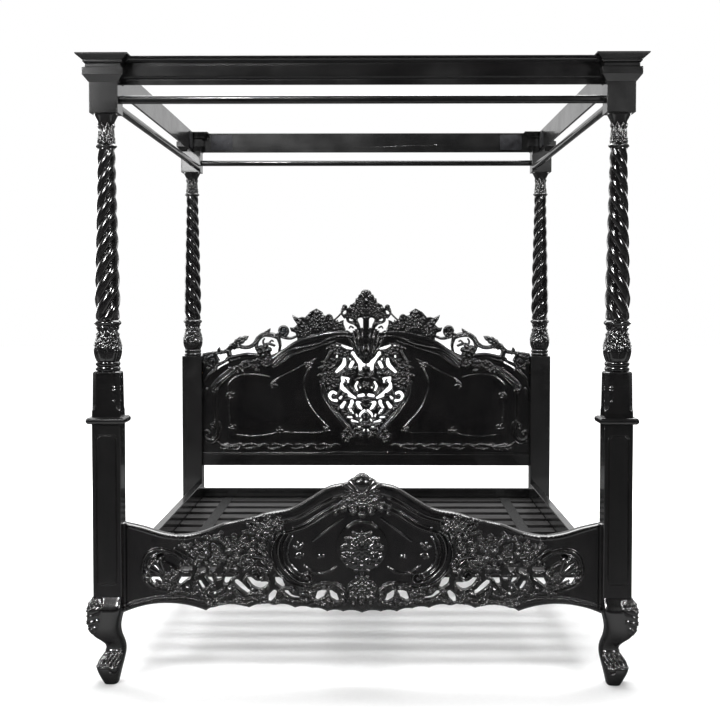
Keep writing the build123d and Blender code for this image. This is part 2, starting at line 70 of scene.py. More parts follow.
def softbox(name, place, target, width, height, power, gloss_only=False):
    """A soft rectangular studio light that looks from its place at a target."""
    light = bpy.data.lights.new(name, "AREA")
    light.shape = "RECTANGLE"
    light.size = width
    light.size_y = height
    light.energy = power
    lamp = bpy.data.objects.new(name, light)
    lamp.location = place
    lamp.rotation_euler = (Vector(target) - Vector(place)).to_track_quat("-Z", "Y").to_euler()
    lamp.visible_camera = False
    lamp.visible_diffuse = not gloss_only
    scene.collection.objects.link(lamp)


softbox("overhead", (0, 1.2, 4.4), (0, 0, 0), 4.5, 3.5, 380)
softbox("key_left", (-3.3, -4.2, 3.0), (0, -0.6, 0.9), 1.1, 1.5, 130)
softbox("fill_right", (3.2, -4.4, 2.6), (0, -0.6, 0.9), 0.8, 1.2, 70)
softbox("rim_left", (-3.6, 2.6, 2.2), (0, 0, 0.9), 1.6, 2.2, 90)
softbox("rim_right", (3.6, 2.6, 2.2), (0, 0, 0.9), 1.2, 2.0, 50)
softbox("glint_left", (-2.9, -4.5, 2.7), (0, -0.6, 0.9), 0.45, 0.7, 230, gloss_only=True)
softbox("glint_right", (2.9, -4.5, 2.5), (0, -0.6, 0.9), 0.4, 0.6, 160, gloss_only=True)
softbox("panel_rear_left", (-1.27, -2.5, 2.2), (-0.81, 0.995, 1.86), 0.13, 0.14, 1.5, gloss_only=True)
softbox("glint_high", (-0.9, -4.6, 4.0), (0, -0.6, 0.9), 0.4, 0.4, 120, gloss_only=True)


def studio_world():
    """White to the camera; in reflections it is bright behind the bed and dark before its foot end."""
    world = bpy.data.worlds.new("studio")
    world.use_nodes = True
    tree = world.node_tree
    tree.nodes.clear()
    direction = tree.nodes.new("ShaderNodeTexCoord")
    split = tree.nodes.new("ShaderNodeSeparateXYZ")
    shade = tree.nodes.new("ShaderNodeMapRange")
    shade.inputs["From Min"].default_value = -0.35
    shade.inputs["From Max"].default_value = 0.3
    shade.inputs["To Min"].default_value = 0.02
    shade.inputs["To Max"].default_value = 0.85
    room = tree.nodes.new("ShaderNodeBackground")
    backdrop = tree.nodes.new("ShaderNodeBackground")
    backdrop.inputs["Color"].default_value = (1, 1, 1, 1)
    rays = tree.nodes.new("ShaderNodeLightPath")
    choose = tree.nodes.new("ShaderNodeMixShader")
    output = tree.nodes.new("ShaderNodeOutputWorld")
    tree.links.new(direction.outputs["Generated"], split.inputs[0])
    tree.links.new(split.outputs["Y"], shade.inputs["Value"])
    tree.links.new(shade.outputs["Result"], room.inputs["Strength"])
    tree.links.new(rays.outputs["Is Camera Ray"], choose.inputs[0])
    tree.links.new(room.outputs[0], choose.inputs[1])
    tree.links.new(backdrop.outputs[0], choose.inputs[2])
    tree.links.new(choose.outputs[0], output.inputs["Surface"])
    scene.world = world


studio_world()


# ---------------------------------------------------------------- materials


class Surface:
    """A procedural material under construction: a Principled shader and the nodes that feed it."""

    def __init__(self, name):
        self.material = bpy.data.materials.new(name)
        self.material.use_nodes = True
        self.tree = self.material.node_tree
        self.shader = self.tree.nodes["Principled BSDF"]
        self.place = self.node("ShaderNodeTexCoord").outputs["Object"]

    def node(self, kind, **inputs):
        node = self.tree.nodes.new(kind)
        for name, value in inputs.items():
            socket = node.inputs[name.replace("_", " ")]
            if isinstance(value, bpy.types.NodeSocket):
                self.tree.links.new(value, socket)
            else:
                socket.default_value = value
        return node

    def set(self, **inputs):
        for name, value in inputs.items():
            socket = self.shader.inputs[name.replace("_", " ")]
            if isinstance(value, bpy.types.NodeSocket):
                self.tree.links.new(value, socket)
            else:
                socket.default_value = value

    def stretched(self, scale):
        """Object coordinates scaled along each axis, for grain that runs one way."""
        return self.node("ShaderNodeMapping", Vector=self.place, Scale=scale).outputs[0]

    def noise(self, vector, scale, detail=4.0, roughness=0.55):
        return self.node("ShaderNodeTexNoise", Vector=vector, Scale=scale, Detail=detail,
                         Roughness=roughness).outputs["Fac"]

    def remap(self, value, low, high, from_low=0.3, from_high=0.7):
        node = self.node("ShaderNodeMapRange", Value=value)
        node.inputs["From Min"].default_value = from_low
        node.inputs["From Max"].default_value = from_high
        node.inputs["To Min"].default_value = low
        node.inputs["To Max"].default_value = high
        return node.outputs["Result"]

    def blend(self, share, dark, light):
        node = self.tree.nodes.new("ShaderNodeMix")
        node.data_type = "RGBA"
        sockets = {socket.identifier: socket for socket in node.inputs}
        self.tree.links.new(share, sockets["Factor_Float"])
        for name, value in (("A_Color", dark), ("B_Color", light)):
            if isinstance(value, bpy.types.NodeSocket):
                self.tree.links.new(value, sockets[name])
            else:
                sockets[name].default_value = (*value, 1)
        results = {socket.identifier: socket for socket in node.outputs}
        return results["Result_Color"]

    def maths(self, operation, first, second=None):
        """The result of one sum on sockets or plain numbers."""
        node = self.node("ShaderNodeMath")
        node.operation = operation
        for value, socket in zip((first, second), node.inputs):
            if isinstance(value, bpy.types.NodeSocket):
                self.tree.links.new(value, socket)
            elif value is not None:
                socket.default_value = value
        return node.outputs[0]

    def bump(self, height, strength, distance, normal=None):
        inputs = {"Height": height, "Strength": strength, "Distance": distance}
        if normal is not None:
            inputs["Normal"] = normal
        return self.node("ShaderNodeBump", **inputs).outputs["Normal"]


def lacquer(name, grain_scale, gloss, carved=False):
    """Black lacquer over wood: faint grain, uneven gloss and soft edges rubbed a little thinner; carved
    pieces also get painted shade in their hollows.
    """
    surface = Surface(name)
    grain = surface.noise(surface.stretched(grain_scale), 1.0, 6.0)
    clouds = surface.noise(surface.place, 6.0, 3.0)
    peel = surface.noise(surface.place, 140.0, 2.0)
    tone = 1 if carved else 0.6
    dark = [tone * level for level in (0.0038, 0.0038, 0.0042)]
    light = [tone * level for level in (0.0095, 0.009, 0.009)]
    black = surface.blend(surface.remap(grain, 0, 1), dark, light)
    geometry_node = surface.node("ShaderNodeNewGeometry")
    if carved:
        # Painted shade: cut hollows get less shine and coat than crests, so they read darker; crests are
        # rubbed to a lighter edge
        pointiness = geometry_node.outputs["Pointiness"]
        edge = surface.remap(pointiness, 0, 1, 0.52, 0.62)
        shine = surface.remap(pointiness, 0.12, 0.5, 0.42, 0.52)
        coat = surface.remap(pointiness, 0, 0.45, 0.46, 0.54)
        soft_normal = None
    else:
        soft = surface.node("ShaderNodeBevel", Radius=0.0016)
        soft.samples = 4
        soft_normal = soft.outputs["Normal"]
        agree = surface.node("ShaderNodeVectorMath")
        agree.operation = "DOT_PRODUCT"
        surface.tree.links.new(soft_normal, agree.inputs[0])
        surface.tree.links.new(geometry_node.outputs["Normal"], agree.inputs[1])
        edge = surface.remap(agree.outputs["Value"], 1, 0, 0.8, 0.99)
        shine = 0.45
        coat = 0.4
    worn = surface.maths("MULTIPLY", edge, surface.remap(clouds, 0.15, 0.7))
    colour = surface.blend(worn, black, (0.035, 0.031, 0.029))
    fine = surface.bump(peel, 0.035, 0.0006, soft_normal)
    surface.set(
        Base_Color=colour,
        Roughness=surface.remap(clouds, gloss, gloss + 0.1),
        Normal=surface.bump(grain, 0.12, 0.0004, fine),
        Specular_IOR_Level=shine,
        Coat_Weight=coat,
        Coat_Roughness=0.035,
        IOR=1.5,
    )
    return surface.material


def painted_slat():
    """Satin black paint on rough pine slats."""
    surface = Surface("painted_slat")
    grain = surface.noise(surface.stretched((3, 90, 60)), 1.0, 8.0, 0.65)
    fine = surface.noise(surface.stretched((30, 500, 300)), 1.0, 4.0)
    paint = surface.blend(surface.remap(grain, 0, 1), (0.007, 0.007, 0.0075), (0.021, 0.0195, 0.019))
    surface.set(
        Base_Color=paint,
        Roughness=surface.remap(grain, 0.28, 0.42),
        Specular_IOR_Level=0.22,
        Normal=surface.bump(fine, 0.2, 0.0004, surface.bump(grain, 0.3, 0.0008)),
    )
    return surface.material


def woven_strap():
    """Black polyester webbing: a plain weave of crossing yarns."""
    surface = Surface("woven_strap")
    waves = []
    for axis in ("X", "Y"):
        wave = surface.tree.nodes.new("ShaderNodeTexWave")
        wave.bands_direction = axis
        wave.inputs["Scale"].default_value = 260
        surface.tree.links.new(surface.place, wave.inputs["Vector"])
        waves.append(wave.outputs["Fac"])
    weave = surface.maths("MULTIPLY", *waves)
    surface.set(
        Base_Color=surface.blend(weave, (0.003, 0.003, 0.003), (0.012, 0.012, 0.0125)),
        Roughness=surface.remap(surface.noise(surface.place, 90.0), 0.6, 0.8),
        Specular_IOR_Level=0.25,
        Normal=surface.bump(weave, 0.6, 0.0006),
    )
    return surface.material


def metal(name, dark, light, roughness):
    """Sheet steel or plated fasteners, with fine scratches and a patchy finish."""
    surface = Surface(name)
    patches = surface.noise(surface.place, 40.0, 4.0)
    scratches = surface.noise(surface.stretched((900, 60, 60)), 1.0, 3.0)
    surface.set(
        Base_Color=surface.blend(surface.remap(patches, 0, 1), dark, light),
        Metallic=0.9,
        Roughness=surface.remap(patches, roughness, roughness + 0.15),
        Normal=surface.bump(scratches, 0.1, 0.0003),
    )
    return surface.material


def bare_beech():
    surface = Surface("bare_beech")
    grain = surface.noise(surface.stretched((60, 60, 6)), 1.0, 6.0)
    flecks = surface.noise(surface.stretched((400, 400, 60)), 1.0, 2.0)
    surface.set(
        Base_Color=surface.blend(surface.remap(grain, 0, 1), (0.45, 0.28, 0.15), (0.6, 0.42, 0.25)),
        Roughness=surface.remap(flecks, 0.55, 0.75),
        Normal=surface.bump(grain, 0.2, 0.0005),
    )
    return surface.material


upright_lacquer = lacquer("lacquer_upright_grain", (55, 55, 4), 0.17)
cross_lacquer = lacquer("lacquer_cross_grain", (4, 55, 55), 0.17)
long_lacquer = lacquer("lacquer_lengthwise_grain", (55, 4, 55), 0.17)
carved_lacquer = lacquer("lacquer_carved", (30, 30, 8), 0.1, carved=True)
leg_lacquer = lacquer("lacquer_leg", (30, 30, 8), 0.14)
black_steel = metal("black_steel", (0.012, 0.012, 0.013), (0.03, 0.03, 0.033), 0.4)
bolt_steel = metal("bolt_steel", (0.45, 0.43, 0.4), (0.6, 0.58, 0.55), 0.28)

finish_by_name = [
    ("slat_ledge", long_lacquer), ("slat_webbing", woven_strap()),
    ("slats", painted_slat()), ("side_rail", long_lacquer), ("centre_beam", long_lacquer),
    ("head_cross_rail", cross_lacquer), ("headboard_bottom_rail", cross_lacquer),
    ("canopy_screws", black_steel), ("canopy_corner_plates", black_steel),
    ("beam_brackets", black_steel), ("joint_dowels", bare_beech()), ("bed_bolts", bolt_steel),
]


def finish_for(name):
    """The material of a CAD node; a rail of the canopy takes the grain of the way it runs."""
    if "cornice" in name or "curtain_rail" in name:
        return cross_lacquer if name.startswith(("front", "rear")) else long_lacquer
    for part_name, material in finish_by_name:
        if part_name in name:
            return material
    return upright_lacquer


for name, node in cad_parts.items():
    node.data.materials.clear()
    node.data.materials.append(finish_for(name))


def floor_material():
    """White paper that fades into the lit backdrop. Mirrored in gloss its colour is painted reflection:
    dark, and pale only near the feet.
    """
    surface = Surface("paper_floor")
    radius = surface.node("ShaderNodeVectorMath", Vector=surface.place)
    radius.operation = "LENGTH"
    rays = surface.node("ShaderNodeLightPath")
    far = surface.remap(radius.outputs["Value"], 0, 1, 1.9, 4.2)
    fade = surface.maths("MULTIPLY", far, rays.outputs["Is Camera Ray"])
    # Painted reflection: to gloss rays the paper is dark, with a painted pale patch round the feet that
    # shows as sheen on the legs and foot end
    along = surface.node("ShaderNodeSeparateXYZ", Vector=surface.place).outputs["Y"]
    from_feet = surface.maths("ABSOLUTE", surface.maths("ADD", along, 1.6))
    painted_sheen_near_feet = surface.remap(from_feet, 1, 0, 0.3, 0.55)
    painted_reflection_tone = surface.blend(painted_sheen_near_feet, (0.1, 0.1, 0.1), (0.6, 0.6, 0.6))
    fibres = surface.noise(surface.place, 60.0)
    paper = surface.blend(surface.remap(fibres, 0, 1), (0.9, 0.9, 0.9), (0.93, 0.93, 0.93))
    surface.set(
        Base_Color=surface.blend(rays.outputs["Is Glossy Ray"], paper, painted_reflection_tone),
        Roughness=0.9,
        Specular_IOR_Level=0.1,
        Emission_Color=(1, 1, 1, 1),
        Emission_Strength=fade,
    )
    return surface.material


FLOOR_RADIUS = 30
FLOOR_SIDES = 48
floor_mesh = bpy.data.meshes.new("floor")
floor_corners = []
for k in range(FLOOR_SIDES):
    floor_angle = k * math.tau / FLOOR_SIDES
    floor_corners.append((FLOOR_RADIUS * math.cos(floor_angle), FLOOR_RADIUS * math.sin(floor_angle), 0))
floor_mesh.from_pydata(floor_corners, [], [list(range(FLOOR_SIDES))])
floor_mesh.materials.append(floor_material())
floor = bpy.data.objects.new("floor", floor_mesh)
floor.location.z = -0.0005
scene.collection.objects.link(floor)


# ---------------------------------------------------------------- shared shape helpers


def smooth_path(points, per_span=8):
    """Points along a smooth curve through the given points."""
    points = np.asarray(points, float)
    if len(points) == 2:
        return points
    ends = np.vstack([2 * points[0] - points[1], points, 2 * points[-1] - points[-2]])
    t = np.linspace(0, 1, per_span, endpoint=False)[:, None]
    spans = []
    for a, b, c, d in zip(ends, ends[1:], ends[2:], ends[3:]):
        spans.append(0.5 * (2 * b + (c - a) * t + (2 * a - 5 * b + 4 * c - d) * t**2
                            + (3 * b - a - 3 * c + d) * t**3))
    return np.vstack([*spans, points[-1:]])


def profile(points, z):
    """Value at each height z of a smooth curve through (z, value) points, all in metres."""
    path = smooth_path(points, 24)
    heights = np.maximum.accumulate(path[:, 0])
    return np.interp(z, heights, path[:, 1])


def add_piece(name, vertices, faces, material, node, crease=50):
    """Make a mesh object that rides on the bed and stands for the CAD node it replaces."""
    mesh = bpy.data.meshes.new(name)
    mesh.from_pydata(vertices.tolist(), [], faces)
    mesh.materials.append(material)
    mesh.shade_smooth()
    mesh.set_sharp_from_angle(angle=math.radians(crease))
    piece = bpy.data.objects.new(name, mesh)
    scene.collection.objects.link(piece)
    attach(piece, "root")
    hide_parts(node)


def tube(rings):
    """Vertices and faces of a closed surface through rings of points, with flat ends."""
    count, around = rings.shape[:2]
    ends = np.array([rings[0].mean(0), rings[-1].mean(0)])
    vertices = np.vstack([rings.reshape(-1, 3), ends])
    k = np.arange(around)
    after = (k + 1) % around
    faces = []
    for row in range(count - 1):
        low = row * around
        high = low + around
        faces += np.stack([low + k, low + after, high + after, high + k], 1).tolist()
    bottom = count * around
    last = (count - 1) * around
    faces += np.stack([after, k, np.full(around, bottom)], 1).tolist()
    faces += np.stack([last + k, last + after, np.full(around, bottom + 1)], 1).tolist()
    return vertices, faces


def bulge(t):
    """A half-round bump: 1 in the middle, 0 at -1 and 1, and 0 beyond."""
    return np.sqrt(np.clip(1 - t**2, 0, 1))


def turned(name, node, z, radius):
    """A turned and carved piece on its CAD node's axis; radius has a row for each height z."""
    low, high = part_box(node)
    centre = (low + high) / 2
    around = radius.shape[1]
    angle = np.arange(around) * math.tau / around
    rings = np.stack([
        centre.x + radius * np.cos(angle),
        centre.y + radius * np.sin(angle),
        np.repeat(z[:, None], around, 1),
    ], 2)
    vertices, faces = tube(rings)
    add_piece(name, vertices, faces, carved_lacquer, node)


# ---------------------------------------------------------------- columns and vases


def acanthus_band(angle, z, low, high, count, turn=0.0, height=3.2 * MM):
    """Upright leaves side by side round a turning: a rib up each leaf, slanted lobes and a curled tip."""
    v = np.clip((z - low) / (high - low), 0, 1)[:, None]
    u = (angle[None, :] * count / math.tau + turn) % 1 - 0.5
    half_width = 0.5 * np.clip(np.sin(math.pi * (0.2 + 0.8 * v)), 0, 1) ** 0.7 + 0.015
    t = u / half_width
    lobes = 0.62 + 0.38 * np.cos(math.tau * (2.6 * v - 0.8 * np.abs(t)))
    rib = 0.6 * np.exp(-((u / 0.045) ** 2))
    tip = 0.55 * np.exp(-(((v - 0.88) / 0.07) ** 2))
    inside = (z[:, None] > low) & (z[:, None] < high)
    return np.where(inside, height * bulge(t) ** 0.7 * (lobes + tip - rib), 0)


def twist_column(name, foot_z, hand):
    """Rope-twist shaft of four strands, with a neck ring and a leafy neck under the top block."""
    node = f"{name}_twist_column"
    top_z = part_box(node)[1].z
    ring_low = 1.704
    around = 160
    strands = 4
    z = np.concatenate([
        np.arange(foot_z, ring_low, 2.4 * MM),
        np.arange(ring_low, top_z - 0.4 * MM, 1.4 * MM),
        [top_z],
    ])
    angle = np.arange(around) * math.tau / around
    shaft = ring_low - foot_z
    shape = [(0, 36), (0.02, 37.5), (0.12, 40), (0.35, 37.2), (0.57, 34.2), (0.8, 30.6), (1, 28)]
    core = profile([(foot_z + s * shaft, r * MM) for s, r in shape], z)
    strand_rise = 1.62 * core
    phase = np.concatenate([[0], np.cumsum(np.diff(z) * math.tau / strand_rise[:-1])])
    lobe = np.abs(np.cos((strands * angle[None, :] - hand * phase[:, None]) / 2)) ** 0.75
    foot_fade = np.clip((z - foot_z) / (22 * MM), 0, 1)
    head_fade = np.clip((ring_low - z) / (12 * MM), 0, 1)
    depth = 0.3 * np.sqrt(foot_fade) * np.sqrt(head_fade)
    rope = core[:, None] * (1 - depth[:, None] * (1 - lobe))
    rounded_foot = 1 - 0.1 * (1 - np.clip((z - foot_z) / (10 * MM), 0, 1)) ** 2
    rope *= rounded_foot[:, None]
    neck = profile([(ring_low, 27.5 * MM), (1.711, 34 * MM), (1.718, 27.5 * MM), (1.728, 25.2 * MM),
                    (1.752, 23.6 * MM), (1.772, 24.2 * MM), (1.785, 26.6 * MM), (1.795, 30.8 * MM),
                    (1.803, 35 * MM), (1.808, 37.6 * MM), (1.812, 38.2 * MM)], z)
    neck = neck[:, None] + acanthus_band(angle, z, 1.72, 1.782, 8, height=2.6 * MM)
    neck += acanthus_band(angle, z, 1.719, 1.752, 8, turn=0.5, height=1.9 * MM)
    radius = np.where(z[:, None] < ring_low, rope, neck)
    turned(node + "_carved", node, z, radius)


def vase(name, foot_z, top_z):
    """Two rings, a belly of eight petals, leaves up to the neck and a flared lip."""
    node = f"{name}_vase"
    z = np.append(np.arange(foot_z, top_z - 0.5 * MM, 1.3 * MM), top_z)
    around = 168
    angle = np.arange(around) * math.tau / around
    body = foot_z + 32 * MM
    lip = top_z - 14 * MM
    rise = lip - body
    turning = profile([
        (foot_z, 36 * MM), (foot_z + 3 * MM, 38.6 * MM), (foot_z + 8 * MM, 39.6 * MM),
        (foot_z + 13 * MM, 38.6 * MM), (foot_z + 16 * MM, 35.6 * MM), (foot_z + 19 * MM, 38.4 * MM),
        (foot_z + 24 * MM, 39.4 * MM), (foot_z + 29 * MM, 38.4 * MM), (body, 35 * MM),
        (body + 0.1 * rise, 39.5 * MM), (body + 0.28 * rise, 43.4 * MM), (body + 0.45 * rise, 41 * MM),
        (body + 0.62 * rise, 35 * MM), (body + 0.8 * rise, 30.5 * MM), (body + 0.93 * rise, 32.5 * MM),
        (lip, 39 * MM), (lip + 4 * MM, 42.3 * MM), (lip + 8 * MM, 42.8 * MM), (lip + 11 * MM, 41 * MM),
        (top_z, 38 * MM),
    ], z)
    petal_top = body + 0.42 * rise
    v = np.clip((z - body) / (petal_top - body), 0, 1)[:, None]
    u = (angle[None, :] * 8 / math.tau) % 1 - 0.5
    petal = u / (0.49 * np.sqrt(np.clip(1 - v**3, 0.0, 1)) + 0.01)
    on_belly = (z[:, None] > body) & (z[:, None] < petal_top)
    gadroon = np.where(on_belly, 1.9 * MM * (bulge(petal) - 0.6 * (np.abs(petal) > 1)), 0)
    leaves = acanthus_band(angle, z, body + 0.34 * rise, body + 0.8 * rise, 8, 0.5, 4.2 * MM)
    tips = acanthus_band(angle, z, body + 0.46 * rise, body + 0.97 * rise, 8, 0.0, 3.4 * MM)
    radius = turning[:, None] + gadroon + np.maximum(leaves, tips)
    turned(node + "_carved", node, z, radius)


for side_name, hand in (("left", 1), ("right", -1)):
    twist_column(f"front_{side_name}", 1.160, hand)
    vase(f"front_{side_name}", 0.999, 1.160)
    twist_column(f"rear_{side_name}", 1.129, -hand)
    vase(f"rear_{side_name}", 0.960, 1.129)


# ---------------------------------------------------------------- cabriole legs


def spiral_groove(du, dz, radius, turns, width, start):
    """Depth of a scroll's groove at places (du, dz) from its eye, 0 to 1."""
    reach = np.hypot(du, dz)
    turn = ((np.arctan2(dz, du) - start) / math.tau) % 1
    pitch = radius / turns
    off = np.abs((reach / pitch - turn + 0.5) % 1 - 0.5) * pitch
    return np.where(reach < radius, np.exp(-((off / width) ** 2)), 0)


def cabriole_leg(side):
    """Leg sawn to an outline each way: carved leaf on the knee, slim ankle, fluted scroll foot."""
    name = f"front_{'left' if side < 0 else 'right'}_leg"
    across_out = [(0, 15), (20, 27), (35, 35), (49, 40), (58, 38), (72, 31), (86, 21), (97, 15),
                  (110, 13), (123, 17), (135, 30), (146, 45), (158, 54), (172, 59), (190, 62),
                  (212, 62), (235, 63), (250, 62), (266, 56), (281, 45)]
    along_out = [(0, 45), (25, 50), (50, 52), (72, 43), (90, 31), (106, 25), (122, 28), (140, 38),
                 (158, 49), (180, 57), (205, 61), (235, 65), (250, 62), (266, 54), (281, 45)]
    inner = [(0, -28), (30, -35), (60, -42), (90, -48), (110, -48.5), (130, -45), (155, -38),
             (180, -35), (205, -38), (230, -44), (250, -45), (281, -45)]
    z = np.arange(0, 281.01, 1.7) * MM
    back = profile([(h * MM, u * MM) for h, u in inner], z)
    outs = [profile([(h * MM, u * MM) for h, u in outline], z) for outline in (across_out, along_out)]
    middle_x, middle_y = [((out + back) / 2)[:, None] for out in outs]
    half_x, half_y = [((out - back) / 2)[:, None] for out in outs]
    half = (half_x + half_y) / 2

    # Rounded square section, squarer towards the top; from_corner is 0 at the outward corner
    around = 176
    angle = np.arange(around) * math.tau / around + math.pi / 4
    squareness = profile([(0, 3.2), (0.05, 3.4), (0.11, 3.0), (0.17, 3.6), (0.23, 7), (0.281, 14)], z)
    power = squareness[:, None]
    cos, sin = np.cos(angle)[None, :], np.sin(angle)[None, :]
    reach = (np.abs(cos) ** power + np.abs(sin) ** power) ** (-1 / power)
    height = z[:, None]
    from_corner = np.abs((angle[None, :] - math.pi / 4 + math.pi) % math.tau - math.pi)
    across = from_corner * half
    near_faces = from_corner < math.pi / 2

    # Lobed leaf with a sunk vein and two curled tips, between two scrolls under the top of the knee
    on_knee = height > 0.159
    v = np.clip((0.281 - height) / 0.122, 0, 1)
    leaf_half = 0.036 * np.sin(math.pi * np.clip(v, 0.02, 1) ** 0.6) ** 0.55 + 0.001
    t = across / leaf_half
    lobes = 0.5 + 0.5 * np.cos(math.tau * (5.6 * v + 0.75 * t))
    lobes = lobes * (0.7 + 0.3 * np.cos(math.tau * (9 * v - 1.6 * t)))
    knee = np.where(on_knee & (t < 1), 0.0064 * bulge(t) * lobes + 0.001, 0)
    knee -= np.where(on_knee, 0.003 * np.exp(-((across / 0.0022) ** 2)), 0)
    tip = 0.006 * np.exp(-(((height - 0.204) / 0.009) ** 2) - (across / 0.016) ** 2)
    second_tip = 0.004 * np.exp(-(((height - 0.172) / 0.007) ** 2) - (across / 0.011) ** 2)
    scroll_du = (from_corner - 0.33) * half
    scroll = spiral_groove(scroll_du, height - 0.262, 0.014, 1.7, 0.0016, 0.5)
    knee -= np.where(near_faces, 0.003 * scroll, 0)
    shoulder = 0.001 * np.exp(-(((height - 0.2655) / 0.010) ** 2))
    shoulder = shoulder * np.clip((from_corner - 0.5) / 0.2, 0, 1) * near_faces

    # Flutes over the toe, a cord above them, a step below and an eye on the side
    flute_v = np.clip((height - 0.058) / 0.042, 0, 1)
    on_foot = (height > 0.058) & (height < 0.100) & near_faces
    flutes = np.abs(np.sin(from_corner * half / 0.0135 * math.pi))
    foot = np.where(on_foot, 0.009 * (flutes - 0.6) * np.sin(math.pi * flute_v) ** 0.5, 0)
    foot += np.where(near_faces, 0.0026 * np.exp(-(((height - 0.1035) / 0.0035) ** 2)), 0)
    foot += 0.0028 * np.exp(-(((height - 0.0545) / 0.003) ** 2)) * (from_corner < 1.0)
    eye_du = (from_corner - 1.25) * half
    eye = np.hypot(eye_du, height - 0.052)
    foot += 0.0045 * bulge(eye / 0.011) - 0.003 * np.exp(-(((eye - 0.0135) / 0.002) ** 2))
    foot = np.where(height < 0.11, foot, 0)

    relief = knee + tip + second_tip - shoulder + foot
    low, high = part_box(name)
    axis_x = side * 0.810
    axis_y = -1.040
    rings = np.stack([
        axis_x + side * (middle_x + (half_x * reach + relief) * cos),
        axis_y - (middle_y + (half_y * reach + relief) * sin),
        np.repeat(height, around, 1),
    ], 2)
    if side > 0:
        rings = rings[:, ::-1]
    rings = np.clip(rings, np.array(low), np.array(high))
    vertices, faces = tube(rings)
    add_piece(name + "_carved", vertices, faces, leg_lacquer, name)


for side in (-1, 1):
    cabriole_leg(side)


# ---------------------------------------------------------------- blocks above the collars


def upper_block(side):
    """Tapered square block: chamfered corners ending in a scoop, with a gouged drop and two notches."""
    name = f"front_{'left' if side < 0 else 'right'}_upper_block"
    low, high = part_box(name)
    centre = (low + high) / 2
    z = np.concatenate([np.arange(low.z, high.z - 7 * MM, 1.6 * MM),
                        high.z - 7 * MM * np.cos(np.linspace(0, math.pi / 2, 9))])
    around = 200
    angle = np.arange(around) * math.tau / around + math.pi / 4
    height = z[:, None]
    half = 45 * MM - (height - low.z) * math.tan(math.radians(0.9))
    shoulder = np.clip((z - (high.z - 7 * MM)) / (7 * MM), 0, 1)[:, None]
    half = half - 5 * MM * (1 - np.sqrt(np.clip(1 - shoulder**2, 0, 1)))
    cos, sin = np.abs(np.cos(angle)), np.abs(np.sin(angle))
    flat = half / np.maximum(cos, sin)[None, :]
    rise = np.clip((height - (low.z + 22 * MM)) / (16 * MM), 0, 1)
    scoop = np.sqrt(np.clip(1 - (1 - rise) ** 2, 0, 1))
    arris = 1.5 * MM + 10 * MM * scoop
    chamfer = (2 * half - arris) / (cos + sin)[None, :]
    radius = np.minimum(flat, chamfer)
    inner_corner = -math.pi / 2 - side * math.pi / 4
    from_corner = np.abs((angle - inner_corner + math.pi) % math.tau - math.pi)
    off_edge = (from_corner - 0.27)[None, :] * half * 1.2
    drop = np.exp(-((off_edge / (3 * MM)) ** 2) - (np.abs(height - low.z - 60 * MM) / (10 * MM)) ** 3)
    notches = 0
    for notch_z in (90, 99):
        off_notch = height - low.z - notch_z * MM
        notches = notches + np.exp(-((off_edge / (4 * MM)) ** 2) - (off_notch / (2.6 * MM)) ** 2)
    radius = radius - 3 * MM * drop - 3 * MM * notches
    rings = np.stack([centre.x + radius * np.cos(angle), centre.y + radius * np.sin(angle),
                      np.repeat(height, around, 1)], 2)
    vertices, faces = tube(rings)
    add_piece(name + "_carved", vertices, faces, carved_lacquer, name, crease=30)


for side in (-1, 1):
    upper_block(side)


# ---------------------------------------------------------------- carved relief


def nearest_on_path(path, x, z):
    """Signed distance to a path (positive on its left), share of its run there, and its length."""
    steps = np.diff(path, axis=0)
    lengths = np.hypot(steps[:, 0], steps[:, 1])
    run = np.concatenate([[0], np.cumsum(lengths)])
    closest = np.full(x.shape, np.inf)
    offset = np.zeros(x.shape)
    place = np.zeros(x.shape)
    for start, step, length, before in zip(path, steps, lengths, run):
        dx, dz = x - start[0], z - start[1]
        t = np.clip((dx * step[0] + dz * step[1]) / length**2, 0, 1)
        distance = np.hypot(dx - t * step[0], dz - t * step[1])
        nearer = distance < closest
        closest = np.where(nearer, distance, closest)
        offset = np.where(nearer, np.where(step[0] * dz > step[1] * dx, distance, -distance), offset)
        place = np.where(nearer, before + t * length, place)
    return offset, place / run[-1], run[-1]


def inside_outline(path, x, z):
    """Signed distance to a closed outline, positive inside it."""
    closed = np.vstack([path, path[:1]])
    offset, _, _ = nearest_on_path(closed, x, z)
    crossings = np.zeros(x.shape, int)
    for (xa, za), (xb, zb) in zip(closed, closed[1:]):
        if za != zb:
            level = (z >= min(za, zb)) & (z < max(za, zb))
            crossings += level & (x < xa + (z - za) * (xb - xa) / (zb - za))
    return np.where(crossings % 2 == 1, np.abs(offset), -np.abs(offset))


def spiral(centre, radius, start, turns, last=0.25):
    """Points of a scroll that winds in from an angle in degrees; negative turns wind clockwise."""
    t = np.linspace(0, 1, max(6, int(abs(turns) * 14)))
    reach = radius * (1 - (1 - last) * t)
    angle = math.radians(start) + math.tau * turns * t
    return np.stack([centre[0] + reach * np.cos(angle), centre[1] + reach * np.sin(angle)], 1)


def full_width(half):
    """The right half of a board's grid joined to its mirror image."""
    return np.concatenate([half[:0:-1], half])


